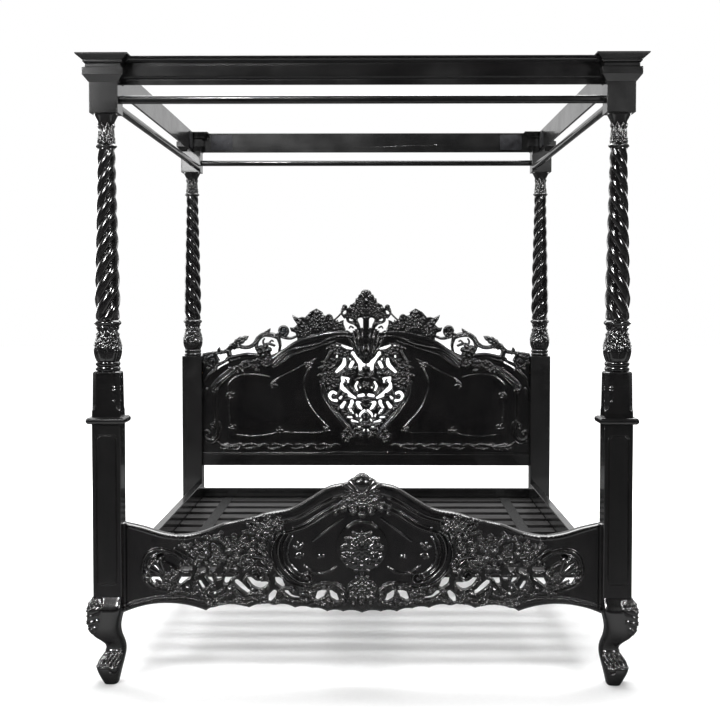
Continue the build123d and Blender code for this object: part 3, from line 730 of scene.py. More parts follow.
class Relief:
    """Heights of a carved board's right half above its back, on a fine grid. Forms are given in mm."""

    def __init__(self, width, low, high, field, step):
        self.step = step * MM
        self.x = np.arange(0, width * MM + self.step * 1.5, self.step)
        self.z = np.arange(low * MM - self.step * 1.5, high * MM + self.step * 1.5, self.step)
        self.grid_x, self.grid_z = np.meshgrid(self.x, self.z, indexing="ij")
        self.field_level = field * MM
        self.height = np.full(self.grid_x.shape, self.field_level)
        self.solid = np.full(self.grid_x.shape, 1.0)

    def window(self, path, margin):
        """The part of the grid round a path, as two slices."""
        low, high = path.min(0) - margin, path.max(0) + margin
        i = slice(*np.searchsorted(self.x, (low[0], high[0])))
        j = slice(*np.searchsorted(self.z, (low[1], high[1])))
        return i, j

    def places(self, path, margin):
        """The window round a path and the x and z of its grid points."""
        window = self.window(path, margin)
        return window, self.grid_x[window], self.grid_z[window]

    def add_outline(self, points):
        """Wood inside a closed outline as well."""
        path = mm(points)
        window, x, z = self.places(path, 0.02)
        self.solid[window] = np.maximum(self.solid[window], inside_outline(path, x, z))

    def pierce(self, points, width):
        """A pierced opening along a path, whose width may change from its start to its end."""
        path = smooth_path(mm(points), 4)
        widths = mm(np.atleast_1d(width)) / 2
        window, x, z = self.places(path, widths.max() + 0.012)
        offset, share, _ = nearest_on_path(path, x, z)
        half = np.interp(share, np.linspace(0, 1, len(widths)), widths)
        self.solid[window] = np.minimum(self.solid[window], np.abs(offset) - half)

    def lay(self, window, t, form, groove=0.0016, band=0.14):
        """Lay a form over what is there, where t is under 1, with a cut line round it."""
        heights = self.height[window]
        rim = (t >= 1) & (t < 1 + band)
        heights = np.where(rim, heights - groove, heights)
        self.height[window] = np.where(t < 1, form, heights)

    def stroke(self, points, width, top, base=None, shape="round", wood=False, straight=False):
        """A carved ridge along a path: width and top may be lists, spread evenly from start to end."""
        path = mm(points) if straight else smooth_path(mm(points), 5)
        widths = mm(np.atleast_1d(width)) / 2
        tops = mm(np.atleast_1d(top))
        window, x, z = self.places(path, widths.max() * 1.3 + 0.002)
        offset, share, length = nearest_on_path(path, x, z)
        half = np.interp(share, np.linspace(0, 1, len(widths)), widths)
        crown = np.interp(share, np.linspace(0, 1, len(tops)), tops)
        t = np.abs(offset) / np.maximum(half, 1e-5)
        foot = self.field_level if base is None else base * MM
        if shape == "round":
            section = bulge(t)
        else:
            veins = 0.5 + 0.5 * np.cos(math.tau * (share * length / 0.011 + 0.8 * t))
            section = bulge(t) * (0.7 + 0.3 * veins) - 0.35 * np.exp(-((offset / 0.0012) ** 2))
        self.lay(window, t, foot + (crown - foot) * section)
        if wood:
            self.solid[window] = np.maximum(self.solid[window], half - np.abs(offset))

    def leaf(self, points, width, top, lobes=4, base=None, wood=False):
        """An acanthus leaf from its root to its tip: lobed edges, a sunk vein and a rib to each lobe."""
        path = smooth_path(mm(points), 5)
        window, x, z = self.places(path, width * MM * 0.62)
        offset, share, _ = nearest_on_path(path, x, z)
        lobe = np.abs(np.sin(math.pi * (lobes * share**0.9 + 0.15)))
        edge = width * MM / 2 * np.sin(math.pi * (0.12 + 0.88 * share) ** 0.9) ** 0.7
        edge = edge * (0.68 + 0.32 * lobe**0.6)
        t = np.abs(offset) / np.maximum(edge, 1e-5)
        foot = self.field_level if base is None else base * MM
        ribs = 0.66 + 0.34 * np.cos(math.tau * (lobes * share - 0.55 * t))
        vein = 0.3 * np.exp(-((offset / 0.0013) ** 2))
        curl = 0.22 * np.exp(-(((share - 0.82) / 0.1) ** 2))
        self.lay(window, t, foot + (top * MM - foot) * (bulge(t) ** 0.8 * ribs - vein + curl * bulge(t)))
        if wood:
            self.solid[window] = np.maximum(self.solid[window], edge - np.abs(offset))

    def scroll(self, centre, radius, start, turns, width, top, base=None, wood=False):
        """A scroll that winds in to a round eye."""
        path = spiral(centre, radius, start, turns)
        self.stroke(path, [width, width * 0.55], top, base, wood=wood, straight=True)
        self.boss(centre, radius * 0.36, top, base, wood)

    def boss(self, centre, radius, top, base=None, wood=False):
        """A round button."""
        window, x, z = self.places(mm([centre]), radius * MM * 1.3 + 0.001)
        reach = np.hypot(x - centre[0] * MM, z - centre[1] * MM)
        foot = self.field_level if base is None else base * MM
        t = reach / (radius * MM)
        self.lay(window, t, foot + (top * MM - foot) * bulge(t))
        if wood:
            self.solid[window] = np.maximum(self.solid[window], radius * MM - reach)

    def flower(self, centre, radius, top, petals=5, turn=0.0, base=None, wood=False):
        """A flower of rounded petals round a boss."""
        window, x, z = self.places(mm([centre]), radius * MM * 1.3)
        dx, dz = x - centre[0] * MM, z - centre[1] * MM
        angle = np.arctan2(dz, dx) + turn
        petal = np.abs(np.cos(petals * angle / 2))
        t = np.hypot(dx, dz) / (radius * MM * (0.72 + 0.28 * petal**0.7))
        foot = self.field_level if base is None else base * MM
        section = bulge(t) ** 0.7 * (0.5 + 0.5 * petal) * (0.55 + 0.45 * np.clip(t * 1.6, 0, 1))
        section = np.where(t < 0.32, 0.75 + 0.25 * bulge(t / 0.32), section)
        self.lay(window, t, foot + (top * MM - foot) * section)
        if wood:
            self.solid[window] = np.maximum(self.solid[window], (1 - t) * radius * MM)

    def fan(self, centre, inner, outer, start, end, ribs, top, base=None, wood=False):
        """A ribbed shell between two radii and two angles in degrees, with a scalloped rim."""
        window, x, z = self.places(mm([centre]), outer * MM * 1.15)
        dx, dz = x - centre[0] * MM, z - centre[1] * MM
        angle = np.degrees(np.arctan2(dz, dx))
        share = (angle - start) / (end - start)
        rib = np.abs(np.sin(math.pi * ribs * share))
        reach = np.hypot(dx, dz)
        rim = outer * MM * (0.9 + 0.1 * rib**0.6)
        s = (reach - inner * MM) / (rim - inner * MM)
        t = np.where((share > 0) & (share < 1) & (s > 0), s, 2.0)
        foot = self.field_level if base is None else base * MM
        section = (0.55 + 0.45 * np.clip(s, 0, 1)) * (0.45 + 0.55 * rib**0.8)
        section = section * np.sqrt(np.clip(1 - s**8, 0, 1))
        self.lay(window, t, foot + (top * MM - foot) * section, band=0.06)
        if wood:
            grown = np.where((share > 0) & (share < 1) & (s > 0), rim - reach, -1.0)
            self.solid[window] = np.maximum(self.solid[window], grown)

    def beads(self, points, spacing, radius, top):
        """A row of round beads along a path."""
        path = smooth_path(mm(points), 8)
        run = np.concatenate([[0], np.cumsum(np.hypot(*np.diff(path, axis=0).T))])
        for place in np.arange(spacing * MM / 2, run[-1], spacing * MM):
            centre = (np.interp(place, run, path[:, 0]) / MM, np.interp(place, run, path[:, 1]) / MM)
            self.boss(centre, radius, top)

    def finished(self, round_over, drop):
        """Full-width solid and height arrays, softened a little and rounded over at every edge."""
        height = self.height
        soft = height.copy()
        beside = height[2:, 1:-1] + height[:-2, 1:-1] + height[1:-1, 2:] + height[1:-1, :-2]
        diagonal = height[2:, 2:] + height[2:, :-2] + height[:-2, 2:] + height[:-2, :-2]
        soft[1:-1, 1:-1] = (4 * height[1:-1, 1:-1] + 2 * beside + diagonal) / 16
        edge = 1 - np.sqrt(1 - (1 - np.clip(self.solid / (round_over * MM), 0, 1)) ** 2)
        soft -= drop * MM * edge
        x = np.concatenate([-self.x[:0:-1], self.x])
        return x, self.z, full_width(self.solid), full_width(soft)


def closed_relief(x, z, solid, height, back_y):
    """Vertices and faces of the solid behind a relief: carved front, cut edges and a flat back."""
    inside = solid > 0
    count = int(inside.sum())
    corner = np.full(solid.shape, -1)
    corner[inside] = np.arange(count)
    grid_x, grid_z = np.meshgrid(x, z, indexing="ij")
    front = [np.stack([grid_x[inside], back_y - height[inside], grid_z[inside]], 1)]
    crossing = []
    for axis in (0, 1):
        low = (slice(None, -1), slice(None)) if axis == 0 else (slice(None), slice(None, -1))
        high = (slice(1, None), slice(None)) if axis == 0 else (slice(None), slice(1, None))
        cut = inside[low] != inside[high]
        share = np.clip(solid[low][cut] / (solid[low][cut] - solid[high][cut]), 0.12, 0.88)
        ends = [np.stack([grid_x[part][cut], back_y - height[part][cut], grid_z[part][cut]], 1)
                for part in (low, high)]
        front.append(ends[0] + share[:, None] * (ends[1] - ends[0]))
        ids = np.full(cut.shape, -1)
        ids[cut] = count + np.arange(cut.sum())
        count += int(cut.sum())
        crossing.append(ids)
    vertices = np.vstack(front)
    corners = [corner[:-1, :-1], corner[1:, :-1], corner[1:, 1:], corner[:-1, 1:]]
    edges = [crossing[0][:, :-1], crossing[1][1:, :], crossing[0][:, 1:], crossing[1][:-1, :]]
    kind = sum((c >= 0) * 2**k for k, c in enumerate(corners))
    faces = []
    rim = []
    for case in range(1, 16):
        here = kind == case
        if not here.any():
            continue
        columns = []
        leaves = []
        for k in range(4):
            is_in = case >> k & 1
            if is_in:
                columns.append(corners[k][here])
            if is_in != case >> (k + 1) % 4 & 1:
                if is_in:
                    leaves.append(len(columns))
                columns.append(edges[k][here])
        faces += np.stack(columns, 1).tolist()
        for k in leaves:
            rim.append(np.stack([columns[k], columns[(k + 1) % len(columns)]], 1))
    rim = np.vstack(rim)
    rim_ids = np.unique(rim)
    back_of = np.full(count, -1)
    back_of[rim_ids] = count + np.arange(len(rim_ids))
    back = vertices[rim_ids].copy()
    back[:, 1] = back_y
    faces += np.stack([rim[:, 1], rim[:, 0], back_of[rim[:, 0]], back_of[rim[:, 1]]], 1).tolist()
    flat_points = [Vector((p[0], p[2])) for p in back]
    flat_edges = (back_of[rim] - count).tolist()
    _, _, triangles, originals, _, _ = geometry.delaunay_2d_cdt(flat_points, flat_edges, [], 1, 1e-7)
    step = x[1] - x[0]
    for triangle in triangles:
        ids = [originals[k][0] for k in triangle if originals[k]]
        if len(set(ids)) < 3:
            continue
        middle = back[ids].mean(0)
        i = int(round((middle[0] - x[0]) / step))
        j = int(round((middle[2] - z[0]) / step))
        if solid[i, j] > -0.3 * step:
            faces.append([count + k for k in reversed(ids)])
    return np.vstack([vertices, back]), faces


def carve(board, region, back_y, node):
    """Make the part of a finished board that lies in a region, as the piece for one CAD node."""
    x, z, solid, height = board
    solid = np.minimum(solid, region)
    rows = np.nonzero((solid > 0).any(1))[0]
    columns = np.nonzero((solid > 0).any(0))[0]
    i = slice(max(rows[0] - 2, 0), rows[-1] + 3)
    j = slice(max(columns[0] - 2, 0), columns[-1] + 3)
    vertices, faces = closed_relief(x[i], z[j], solid[i, j], height[i, j], back_y)
    add_piece(node + "_carved", vertices, faces, carved_lacquer, node, crease=60)


# ---------------------------------------------------------------- headboard

HEAD_BACK_Y = 1.058
FOOT_BACK_Y = -1.022
HALF_WIDTH = 765
HEAD_LOW = 500
FIELD = 27  # height of the plain field above a board's back, in millimetres

head_top = [(0, 1078), (130, 1078), (230, 1062), (320, 1035), (400, 985), (460, 962), (560, 955),
            (640, 930), (710, 885), (765, 805)]
shield_edge = [(0, 545), (55, 560), (85, 625), (135, 685), (190, 770), (205, 850), (190, 940),
               (140, 1020), (125, 1090)]


def with_mirror(points):
    """Points of the right half with their mirror images before them, from left to right."""
    return [(-x, z) for x, z in points[::-1] if x > 0] + list(points)


head = Relief(HALF_WIDTH, HEAD_LOW, 1275, FIELD, 2.0)
head_outline = smooth_path(mm(with_mirror(head_top)))
# The outline runs on past the posts and the rail, so that no rounded edge is made there
beyond = mm([(900, 700), (900, 300), (-900, 300), (-900, 700)])
head_board = inside_outline(np.vstack([head_outline, beyond]), head.grid_x, head.grid_z)
shield_path = smooth_path(mm(with_mirror(shield_edge)))
shield_outline = np.vstack([shield_path, mm([(125, 1100), (-125, 1100)])])
shield = inside_outline(shield_outline, head.grid_x, head.grid_z)
head.solid = head_board.copy()

# Pierced openings of the cartouche: path and width
for points, width in [
    ([(66, 994), (88, 999), (113, 1010)], [8, 14, 8]), ([(131, 1008), (138, 1009)], 6),
    ([(62, 974), (45, 950), (24, 925), (10, 918)], [16, 13, 22, 12]),
    ([(26, 925), (27, 898)], [20, 15]),
    ([(0, 918), (12, 918)], [10, 16]), ([(63, 930), (74, 909)], [17, 15]), ([(75, 948), (73, 943)], 7),
    ([(101, 945), (104, 922), (118, 905), (138, 886)], [13, 20, 17, 12]), ([(136, 961), (137, 955)], 8),
    ([(84, 852), (112, 858)], [16, 12]), ([(97, 848), (84, 838)], [16, 10]),
    ([(112, 852), (108, 838)], 12),
    ([(115, 833), (112, 812), (100, 800)], [10, 20, 18]),
    ([(104, 806), (80, 780), (52, 764)], [18, 22, 12]), ([(40, 838), (49, 818), (42, 800)], [9, 11, 9]),
    ([(27, 811), (27, 813)], 8), ([(14, 777), (34, 773)], [16, 14]),
    ([(114, 770), (122, 762)], [8, 12]),
    ([(140, 751), (160, 757), (170, 775), (158, 790), (143, 785)], 15),
    ([(26, 742), (42, 742), (30, 716)], [7, 14, 10]), ([(38, 735), (22, 712)], [16, 10]),
    ([(66, 748), (68, 735), (80, 718)], [16, 15, 10]), ([(100, 743), (114, 722)], [12, 18]),
    ([(74, 706), (62, 692)], [14, 9]), ([(68, 672), (85, 674)], [10, 9]),
    ([(8, 705), (24, 690), (30, 676)], [11, 12, 8]), ([(38, 650), (66, 657)], [6, 12]),
    ([(28, 628), (35, 627)], 7), ([(22, 663), (26, 655)], 7), ([(8, 615), (12, 608)], 6),
    ([(45, 686), (42, 676)], 7),
]:
    head.pierce(points, width)

# Crest above the board: stems, leaves and scrolls of solid wood
head.add_outline([(-30, 1060), (-30, 1250), (0, 1272), (14, 1269), (23, 1261), (27, 1248),
                  (36, 1246), (38, 1233), (49, 1229), (51, 1213), (64, 1204), (75, 1200),
                  (81, 1187), (90, 1180), (97, 1150), (82, 1122), (60, 1095), (40, 1060)])
head.add_outline([(95, 1060), (98, 1090), (108, 1118), (128, 1119), (150, 1129), (158, 1149),
                  (170, 1157), (187, 1149), (198, 1151), (203, 1165), (231, 1183), (262, 1166),
                  (284, 1141), (301, 1143), (318, 1138), (346, 1153), (338, 1130), (322, 1107),
                  (338, 1092), (357, 1094), (350, 1075), (330, 1068), (322, 1045), (322, 1020),
                  (230, 1040)])
for points, width in [
    ([(25, 1128), (20, 1095)], [22, 12]), ([(34, 1131), (28, 1118)], [10, 14]),
    ([(58, 1143), (70, 1133)], [12, 20]), ([(128, 1142), (112, 1137)], [10, 8]),
    ([(108, 1132), (96, 1118), (80, 1108), (48, 1090)], [12, 14, 22, 10]),
    ([(92, 1104), (82, 1088), (66, 1072)], [12, 18, 10]),
]:
    head.pierce(points, width)

head.add_outline([(690, 880), (730, 840), (765, 790), (765, 962), (700, 968), (684, 940),
                  (704, 915)])
head.add_outline([(455, 955), (520, 955), (640, 925), (650, 948), (600, 965), (540, 968),
                  (470, 975)])
# Side crest, from the middle outwards
head.stroke([(100, 1180), (120, 1155), (142, 1133), (165, 1118)], [9, 8, 9], 35, 26, wood=True)
head.stroke([(412, 1048), (440, 1058), (475, 1060), (500, 1045), (514, 1018), (508, 990), (490, 968)],
            [22, 24, 23, 18, 20], 37, 24, "leaf", wood=True)
head.stroke([(328, 1050), (355, 1042), (385, 1048), (412, 1060)], [12, 15, 18], 35, 24, wood=True)
head.stroke([(412, 1050), (402, 1012), (408, 975)], [20, 13, 12], 35, 24, wood=True)
head.stroke([(430, 1008), (452, 1016), (474, 1012), (478, 990)], [12, 12, 14], 34, 24, wood=True)
head.stroke([(452, 1022), (442, 1032), (434, 1028)], [9, 6], 33, 24, wood=True)
head.stroke([(476, 1040), (482, 1028), (478, 1012)], [7, 9], 33, 24, wood=True)
head.leaf([(476, 1066), (458, 1076), (447, 1090)], 16, 35, 2, 24, wood=True)
head.flower((475, 982), 36, 37, 6, 0.3, 24, wood=True)
head.stroke([(505, 1042), (520, 1018), (545, 1002), (575, 1000), (600, 1008)], [22, 20, 18, 18],
            37, 24, "leaf", wood=True)
head.leaf([(616, 998), (600, 1024), (578, 1036), (549, 1053)], 38, 37, 4, 24, wood=True)
head.leaf([(590, 1003), (622, 1010), (644, 994)], 30, 36, 3, 24, wood=True)
head.stroke([(636, 996), (655, 982), (690, 976), (730, 970), (765, 962)], [24, 18, 18, 20],
            36, 24, "leaf", wood=True)
head.leaf([(680, 970), (688, 986), (686, 1002)], 18, 35, 2, 24, wood=True)
head.stroke([(634, 945), (644, 985)], [24, 22], 34, 24, wood=True)
head.stroke([(640, 946), (665, 932), (700, 915)], [12, 18], 34, 24, wood=True)
head.scroll((722, 935), 28, 100, -1.4, 15, 37, 24, wood=True)
head.leaf([(760, 925), (752, 945), (756, 962)], 22, 36, 3, 24, wood=True)
head.leaf([(700, 905), (728, 908), (745, 890)], 20, 36, 3, 24, wood=True)
head.stroke([(505, 962), (560, 967), (620, 955), (650, 945)], [18, 16, 18], 34, 24, wood=True)
head.add_outline([(370, 1078), (378, 1096), (390, 1102), (404, 1096), (412, 1080), (404, 1062),
                  (388, 1056)])
head.scroll((389, 1078), 25, 250, -1.5, 16, 37, 24, wood=True)

# Leafy mass beside the centre
for points, width, lobes in [
    ([(208, 1092), (226, 1125), (231, 1178)], 50, 5), ([(240, 1092), (260, 1125), (277, 1143)], 36, 4),
    ([(198, 1092), (200, 1120), (207, 1150)], 32, 4), ([(268, 1085), (302, 1108), (340, 1147)], 32, 4),
    ([(282, 1070), (315, 1080), (350, 1090)], 30, 4), ([(265, 1062), (298, 1058), (328, 1056)], 28, 4),
    ([(170, 1090), (160, 1120), (172, 1145)], 28, 3), ([(140, 1088), (125, 1105), (104, 1128)], 24, 3),
    ([(160, 1090), (140, 1110), (132, 1130)], 24, 3), ([(100, 1085), (115, 1098), (105, 1118)], 20, 3),
]:
    head.leaf(points, width, 37, lobes, 26, wood=True)
head.scroll((171, 1142), 15, 300, 1.3, 9, 37, 25, wood=True)
head.flower((232, 1092), 22, 38, 6, 0.0, 26)
head.flower((196, 1078), 13, 37, 5, 0.4, 26)
head.flower((272, 1070), 14, 37, 5, 0.1, 26)
head.boss((150, 1085), 9, 36, 26)

# Crest centre: stacked leaves under a ribbed dome
for points, width, lobes in [
    ([(30, 1150), (60, 1172), (86, 1182)], 38, 4), ([(20, 1170), (42, 1195), (60, 1204)], 34, 4),
    ([(15, 1195), (32, 1215), (50, 1219)], 30, 3), ([(10, 1215), (24, 1235), (36, 1245)], 26, 3),
    ([(45, 1140), (80, 1148), (108, 1150)], 30, 4), ([(0, 1135), (10, 1160), (14, 1190)], 24, 3),
]:
    head.leaf(points, width, 37, lobes, 25, wood=True)
head.scroll((102, 1188), 13, 250, -1.2, 9, 37, 24, wood=True)
head.stroke([(112, 1180), (114, 1160), (100, 1140)], [9, 11], 36, 24, wood=True)
head.stroke([(90, 1142), (84, 1122), (62, 1112), (38, 1108), (36, 1090)], [11, 10, 9, 8],
            35, 24, wood=True)
head.stroke([(60, 1092), (72, 1098), (78, 1090)], [8, 8, 7], 34, 24, wood=True)
head.leaf([(0, 1150), (0, 1180), (0, 1212)], 22, 38, 3, 26)
head.fan((0, 1222), 0, 48, 15, 165, 7, 38, 27)
head.boss((0, 1218), 13, 38, 27)

# Mouldings along the top of the board
head.stroke([(95, 1064), (170, 1058), (250, 1040), (320, 1018), (385, 978), (430, 945)],
            [30, 36, 36, 30], 33, 27)
head.stroke([(60, 1045), (110, 1053), (165, 1043), (220, 1018), (290, 1002), (350, 988), (400, 957),
             (440, 922)],
            [7, 9, 9, 8], 36, 30)
head.stroke([(150, 1028), (200, 1012), (245, 995), (300, 978), (350, 960), (390, 930), (430, 905)],
            [7, 10, 10, 9], 35, 27)
head.stroke([(360, 972), (400, 944), (428, 917)], [5, 7, 6], 35, 28)
head.scroll((468, 930), 27, 110, 1.1, 12, 37)
head.flower((468, 925), 12, 37, 5)
for points, width in [
    ([(478, 928), (505, 938), (535, 930)], 22), ([(500, 915), (530, 912), (560, 918)], 22),
    ([(545, 932), (570, 925), (590, 900)], 24), ([(560, 905), (585, 890), (612, 884)], 24),
    ([(600, 910), (620, 898), (640, 905)], 16),
]:
    head.leaf(points, width, 37, 3)
head.flower((510, 890), 10, 34)
head.flower((590, 897), 14, 37, 5)
head.stroke([(615, 893), (650, 868), (685, 840), (716, 800)], [7, 9, 9, 8], 37)
head.stroke([(622, 878), (655, 850), (682, 820), (692, 798)], [6, 8, 8, 6], 36)
head.stroke([(612, 905), (650, 885), (695, 850), (722, 815)], [5, 6, 5], 34)
head.scroll((703, 800), 15, 20, -1.2, 8, 37)
head.stroke([(590, 948), (645, 932), (695, 904), (735, 866), (757, 828)], [7, 9, 9, 8], 36)
head.stroke([(742, 806), (752, 782), (758, 755)], [7, 9, 6], 35)
head.stroke([(700, 785), (699, 720), (700, 655)], [8, 8, 8], 33)
head.stroke([(711, 785), (711, 720), (712, 655)], [5, 5, 5], 31)
head.stroke([(700, 660), (694, 620), (700, 585), (722, 566), (746, 572), (756, 594), (745, 610),
             (732, 600)],
            [9, 10, 11, 11, 9, 7], 36)
head.stroke([(688, 650), (682, 615), (690, 575), (716, 552), (748, 555)], [6, 7, 7, 6], 34)
head.leaf([(705, 650), (718, 635), (716, 610)], 18, 34, 3)
head.boss((736, 596), 6, 36)

# Inner field: a bead frame with a sprig at each turn
frame_lines = [
    [(385, 868), (410, 856), (430, 842)],
    [(452, 862), (515, 873), (575, 871), (615, 856), (643, 828), (645, 800)],
    [(638, 775), (640, 710), (636, 655)], [(600, 590), (530, 584), (460, 590), (415, 602)],
    [(385, 602), (300, 600), (225, 600), (200, 606)], [(235, 945), (300, 912), (345, 888), (385, 868)],
]
for line in frame_lines:
    head.stroke(line, [3.4, 4.4, 3.4], 29.6)
head.stroke([(178, 628), (205, 655), (245, 700), (272, 745), (288, 800), (288, 850), (268, 895),
             (240, 945)],
            [4, 6, 5, 5, 6, 4], 30)
for centre, turn in [((262, 925), -50), ((440, 828), 200), ((640, 785), 250), ((620, 618), 60),
                     ((402, 600), 90), ((188, 608), 120)]:
    for bend in (-55, 0, 55):
        angle = math.radians(turn + bend)
        reach = 30 if bend == 0 else 24
        tip = (centre[0] + reach * math.cos(angle), centre[1] + reach * math.sin(angle))
        between = ((centre[0] + tip[0]) / 2 + 2, (centre[1] + tip[1]) / 2 + 2)
        head.leaf([centre, between, tip], 12, 31, 3)
    head.boss(centre, 4.5, 31)

# Shield: raised rim, scrolls and leaf masses round the openings
head.stroke([(52, 580), (85, 630), (135, 690), (185, 765), (201, 840), (190, 925), (160, 985)],
            [9, 12, 12, 12, 10, 8], 36, 27)
head.stroke([(62, 575), (98, 630), (148, 688), (198, 762), (214, 840)], [4, 5, 5, 4], 31)
for points, width, lobes in [
    ([(130, 890), (178, 905), (222, 902)], 34, 5), ([(130, 868), (180, 872), (226, 866)], 36, 5),
    ([(150, 910), (185, 925), (208, 932)], 26, 3), ([(150, 850), (185, 845), (214, 838)], 28, 3),
    ([(125, 845), (160, 838), (190, 820)], 34, 4), ([(130, 825), (160, 812), (182, 795)], 26, 3),
    ([(60, 880), (95, 880), (125, 868)], 34, 4), ([(45, 905), (80, 900), (105, 898)], 20, 3),
    ([(80, 985), (120, 990), (165, 985)], 34, 4), ([(110, 1010), (150, 1005), (185, 990)], 26, 4),
    ([(90, 965), (125, 975), (150, 960)], 26, 3), ([(115, 950), (135, 935), (165, 945)], 20, 3),
    ([(160, 735), (130, 715), (120, 700)], 26, 3), ([(110, 700), (95, 680), (80, 655)], 26, 3),
    ([(60, 640), (45, 610), (40, 580)], 26, 3), ([(20, 640), (25, 600), (15, 570)], 28, 4),
    ([(75, 620), (95, 600), (110, 578)], 24, 3), ([(70, 580), (85, 565), (80, 548)], 20, 3),
    ([(178, 780), (165, 745), (140, 720)], 16, 3), ([(95, 560), (110, 585), (100, 600)], 22, 3),
]:
    head.leaf(points, width, 36, lobes)
head.stroke([(60, 868), (70, 845), (75, 822), (60, 795), (30, 765), (0, 752)], [8, 8, 9, 9, 9], 36)
head.stroke([(80, 862), (92, 838), (92, 815), (70, 785), (35, 758), (0, 742)], [6, 6, 6, 6], 35)
head.stroke([(132, 945), (150, 912), (172, 903), (195, 918)], [7, 9, 9, 7], 36)
head.scroll((150, 773), 14, 200, 1.1, 10, 37, wood=True)
head.scroll((95, 775), 13, 320, 1.1, 8, 36, wood=True)
head.stroke([(98, 832), (92, 842), (98, 850)], [7, 8, 6], 35, wood=True)
head.scroll((73, 690), 13, 60, -1.1, 8, 36, wood=True)
head.scroll((0, 906), 11, 90, 0.9, 8, 37, wood=True)
for points, width in [
    ([(38, 960), (45, 940), (42, 905)], 13), ([(85, 955), (88, 930), (95, 905)], 13),
    ([(55, 925), (60, 900), (80, 893)], 10), ([(60, 775), (75, 760), (95, 755)], 10),
    ([(20, 760), (20, 735), (0, 722)], 12), ([(55, 745), (52, 725), (60, 705)], 11),
    ([(90, 748), (92, 725), (82, 705)], 11), ([(14, 690), (10, 670), (15, 650)], 12),
    ([(45, 665), (35, 660), (15, 662)], 9), ([(125, 760), (128, 780), (120, 795)], 10),
]:
    head.stroke(points, [width * 0.6, width, width * 0.7], 35, None, "leaf")
head.flower((0, 820), 22, 36, 6, 0.5)
head.flower((20, 870), 17, 36, 5)
head.flower((105, 882), 12, 36, 5)
head.flower((0, 640), 16, 36, 6)
head.flower((22, 585), 14, 36, 5)
head.flower((103, 578), 15, 36, 5, 0.3)
head.boss((35, 820), 6, 35)
head.stroke([(0, 858), (30, 856), (55, 845)], [9, 9, 6], 35)

# Fan of blades at the head of the shield
for points in [
    [(12, 935), (52, 962), (74, 1000)], [(12, 945), (52, 985), (82, 1042)],
    [(12, 950), (44, 1000), (66, 1068)], [(8, 950), (30, 1010), (44, 1084)],
    [(3, 950), (14, 1010), (19, 1090)], [(10, 915), (38, 945), (52, 982)],
    [(6, 925), (26, 960), (36, 1005)], [(3, 925), (10, 970), (12, 1022)],
    [(0, 890), (16, 912), (34, 930)],
]:
    head.stroke(points, [4, 12, 13, 6], [33, 38, 38, 34], 25, wood=points[-1][1] > 1060)

# Festoon above the bottom rail
for k in range(5):
    x = 165 + 112 * k
    head.flower((x, 536), 10, 34, 5, 0.7 * k)
    head.flower((x + 20, 528), 7, 33, 5, 0.3 * k)
    head.leaf([(x + 26, 530), (x + 48, 522), (x + 74, 530)], 13, 33, 4)
    head.leaf([(x - 8, 540), (x - 28, 546), (x - 46, 538)], 12, 33, 3)
    head.leaf([(x + 14, 542), (x + 34, 547), (x + 54, 542)], 10, 32, 3)
head.stroke([(560, 546), (600, 534), (640, 536), (675, 542), (692, 556)], [6, 7, 7, 6], 34)
head.stroke([(575, 536), (610, 522), (650, 524)], [4, 6, 4], 32)
head.stroke([(0, 508), (120, 508), (300, 504), (765, 504)], [5, 5], 29)

head_finished = head.finished(4, 4)
in_shield = full_width(shield)
across = np.repeat(head_finished[0][:, None], len(head_finished[1]), 1)
panel_split = 1 * MM
crest_split = 131 * MM
head_frame = np.minimum(HALF_WIDTH * MM - np.abs(across), head_finished[1][None, :] - HEAD_LOW * MM)
in_board = np.minimum(full_width(head_board), head_frame)
above_board = np.minimum(-full_width(head_board), head_frame)
panel = np.minimum(in_board, -in_shield)
for node, region in [
    ("headboard_cartouche", np.minimum(in_board, in_shield)),
    ("headboard_panel_left", np.minimum(panel, panel_split - across)),
    ("headboard_panel_right", np.minimum(panel, across - panel_split)),
    ("headboard_crest_centre", np.minimum(above_board, crest_split - np.abs(across))),
    ("headboard_crest_left", np.minimum(above_board, -across - crest_split)),
    ("headboard_crest_right", np.minimum(above_board, across - crest_split)),
]:
    carve(head_finished, region, HEAD_BACK_Y, node)


# ---------------------------------------------------------------- footboard

foot_top = [(0, 648), (60, 640), (110, 628), (170, 592), (230, 560), (300, 547), (380, 523),
            (440, 512), (510, 485), (575, 474), (640, 482), (700, 500), (765, 515)]
foot_apron = [(0, 224), (60, 228), (112, 228), (160, 238), (215, 240), (282, 249), (362, 240),
              (478, 240), (500, 230)]


def arc_through(a, b, c, count=16):
    """Points of the circle's arc from a to c through b."""
    (ax, ay), (bx, by), (cx, cy) = a, b, c
    d = 2 * (ax * (by - cy) + bx * (cy - ay) + cx * (ay - by))
    ux = ((ax**2 + ay**2) * (by - cy) + (bx**2 + by**2) * (cy - ay) + (cx**2 + cy**2) * (ay - by)) / d
    uy = ((ax**2 + ay**2) * (cx - bx) + (bx**2 + by**2) * (ax - cx) + (cx**2 + cy**2) * (bx - ax)) / d
    radius = math.hypot(ax - ux, ay - uy)
    start = math.atan2(ay - uy, ax - ux)
    turn = math.atan2(cy - uy, cx - ux) - start
    way = math.atan2(by - uy, bx - ux) - start
    if abs(turn) < abs(way):
        turn -= math.copysign(math.tau, turn)
    points = []
    for k in range(count + 1):
        angle = start + turn * k / count
        points.append((ux + radius * math.cos(angle), uy + radius * math.sin(angle)))
    return points


def scalloped(points, rise):
    """An edge whose points are joined by arcs that bulge out to the left of their direction."""
    edge = [points[0]]
    for (ax, az), (bx, bz) in zip(points, points[1:]):
        middle = ((ax + bx) / 2 - rise * (bz - az), (az + bz) / 2 + rise * (bx - ax))
        edge += arc_through((ax, az), middle, (bx, bz), 6)[1:]
    return edge


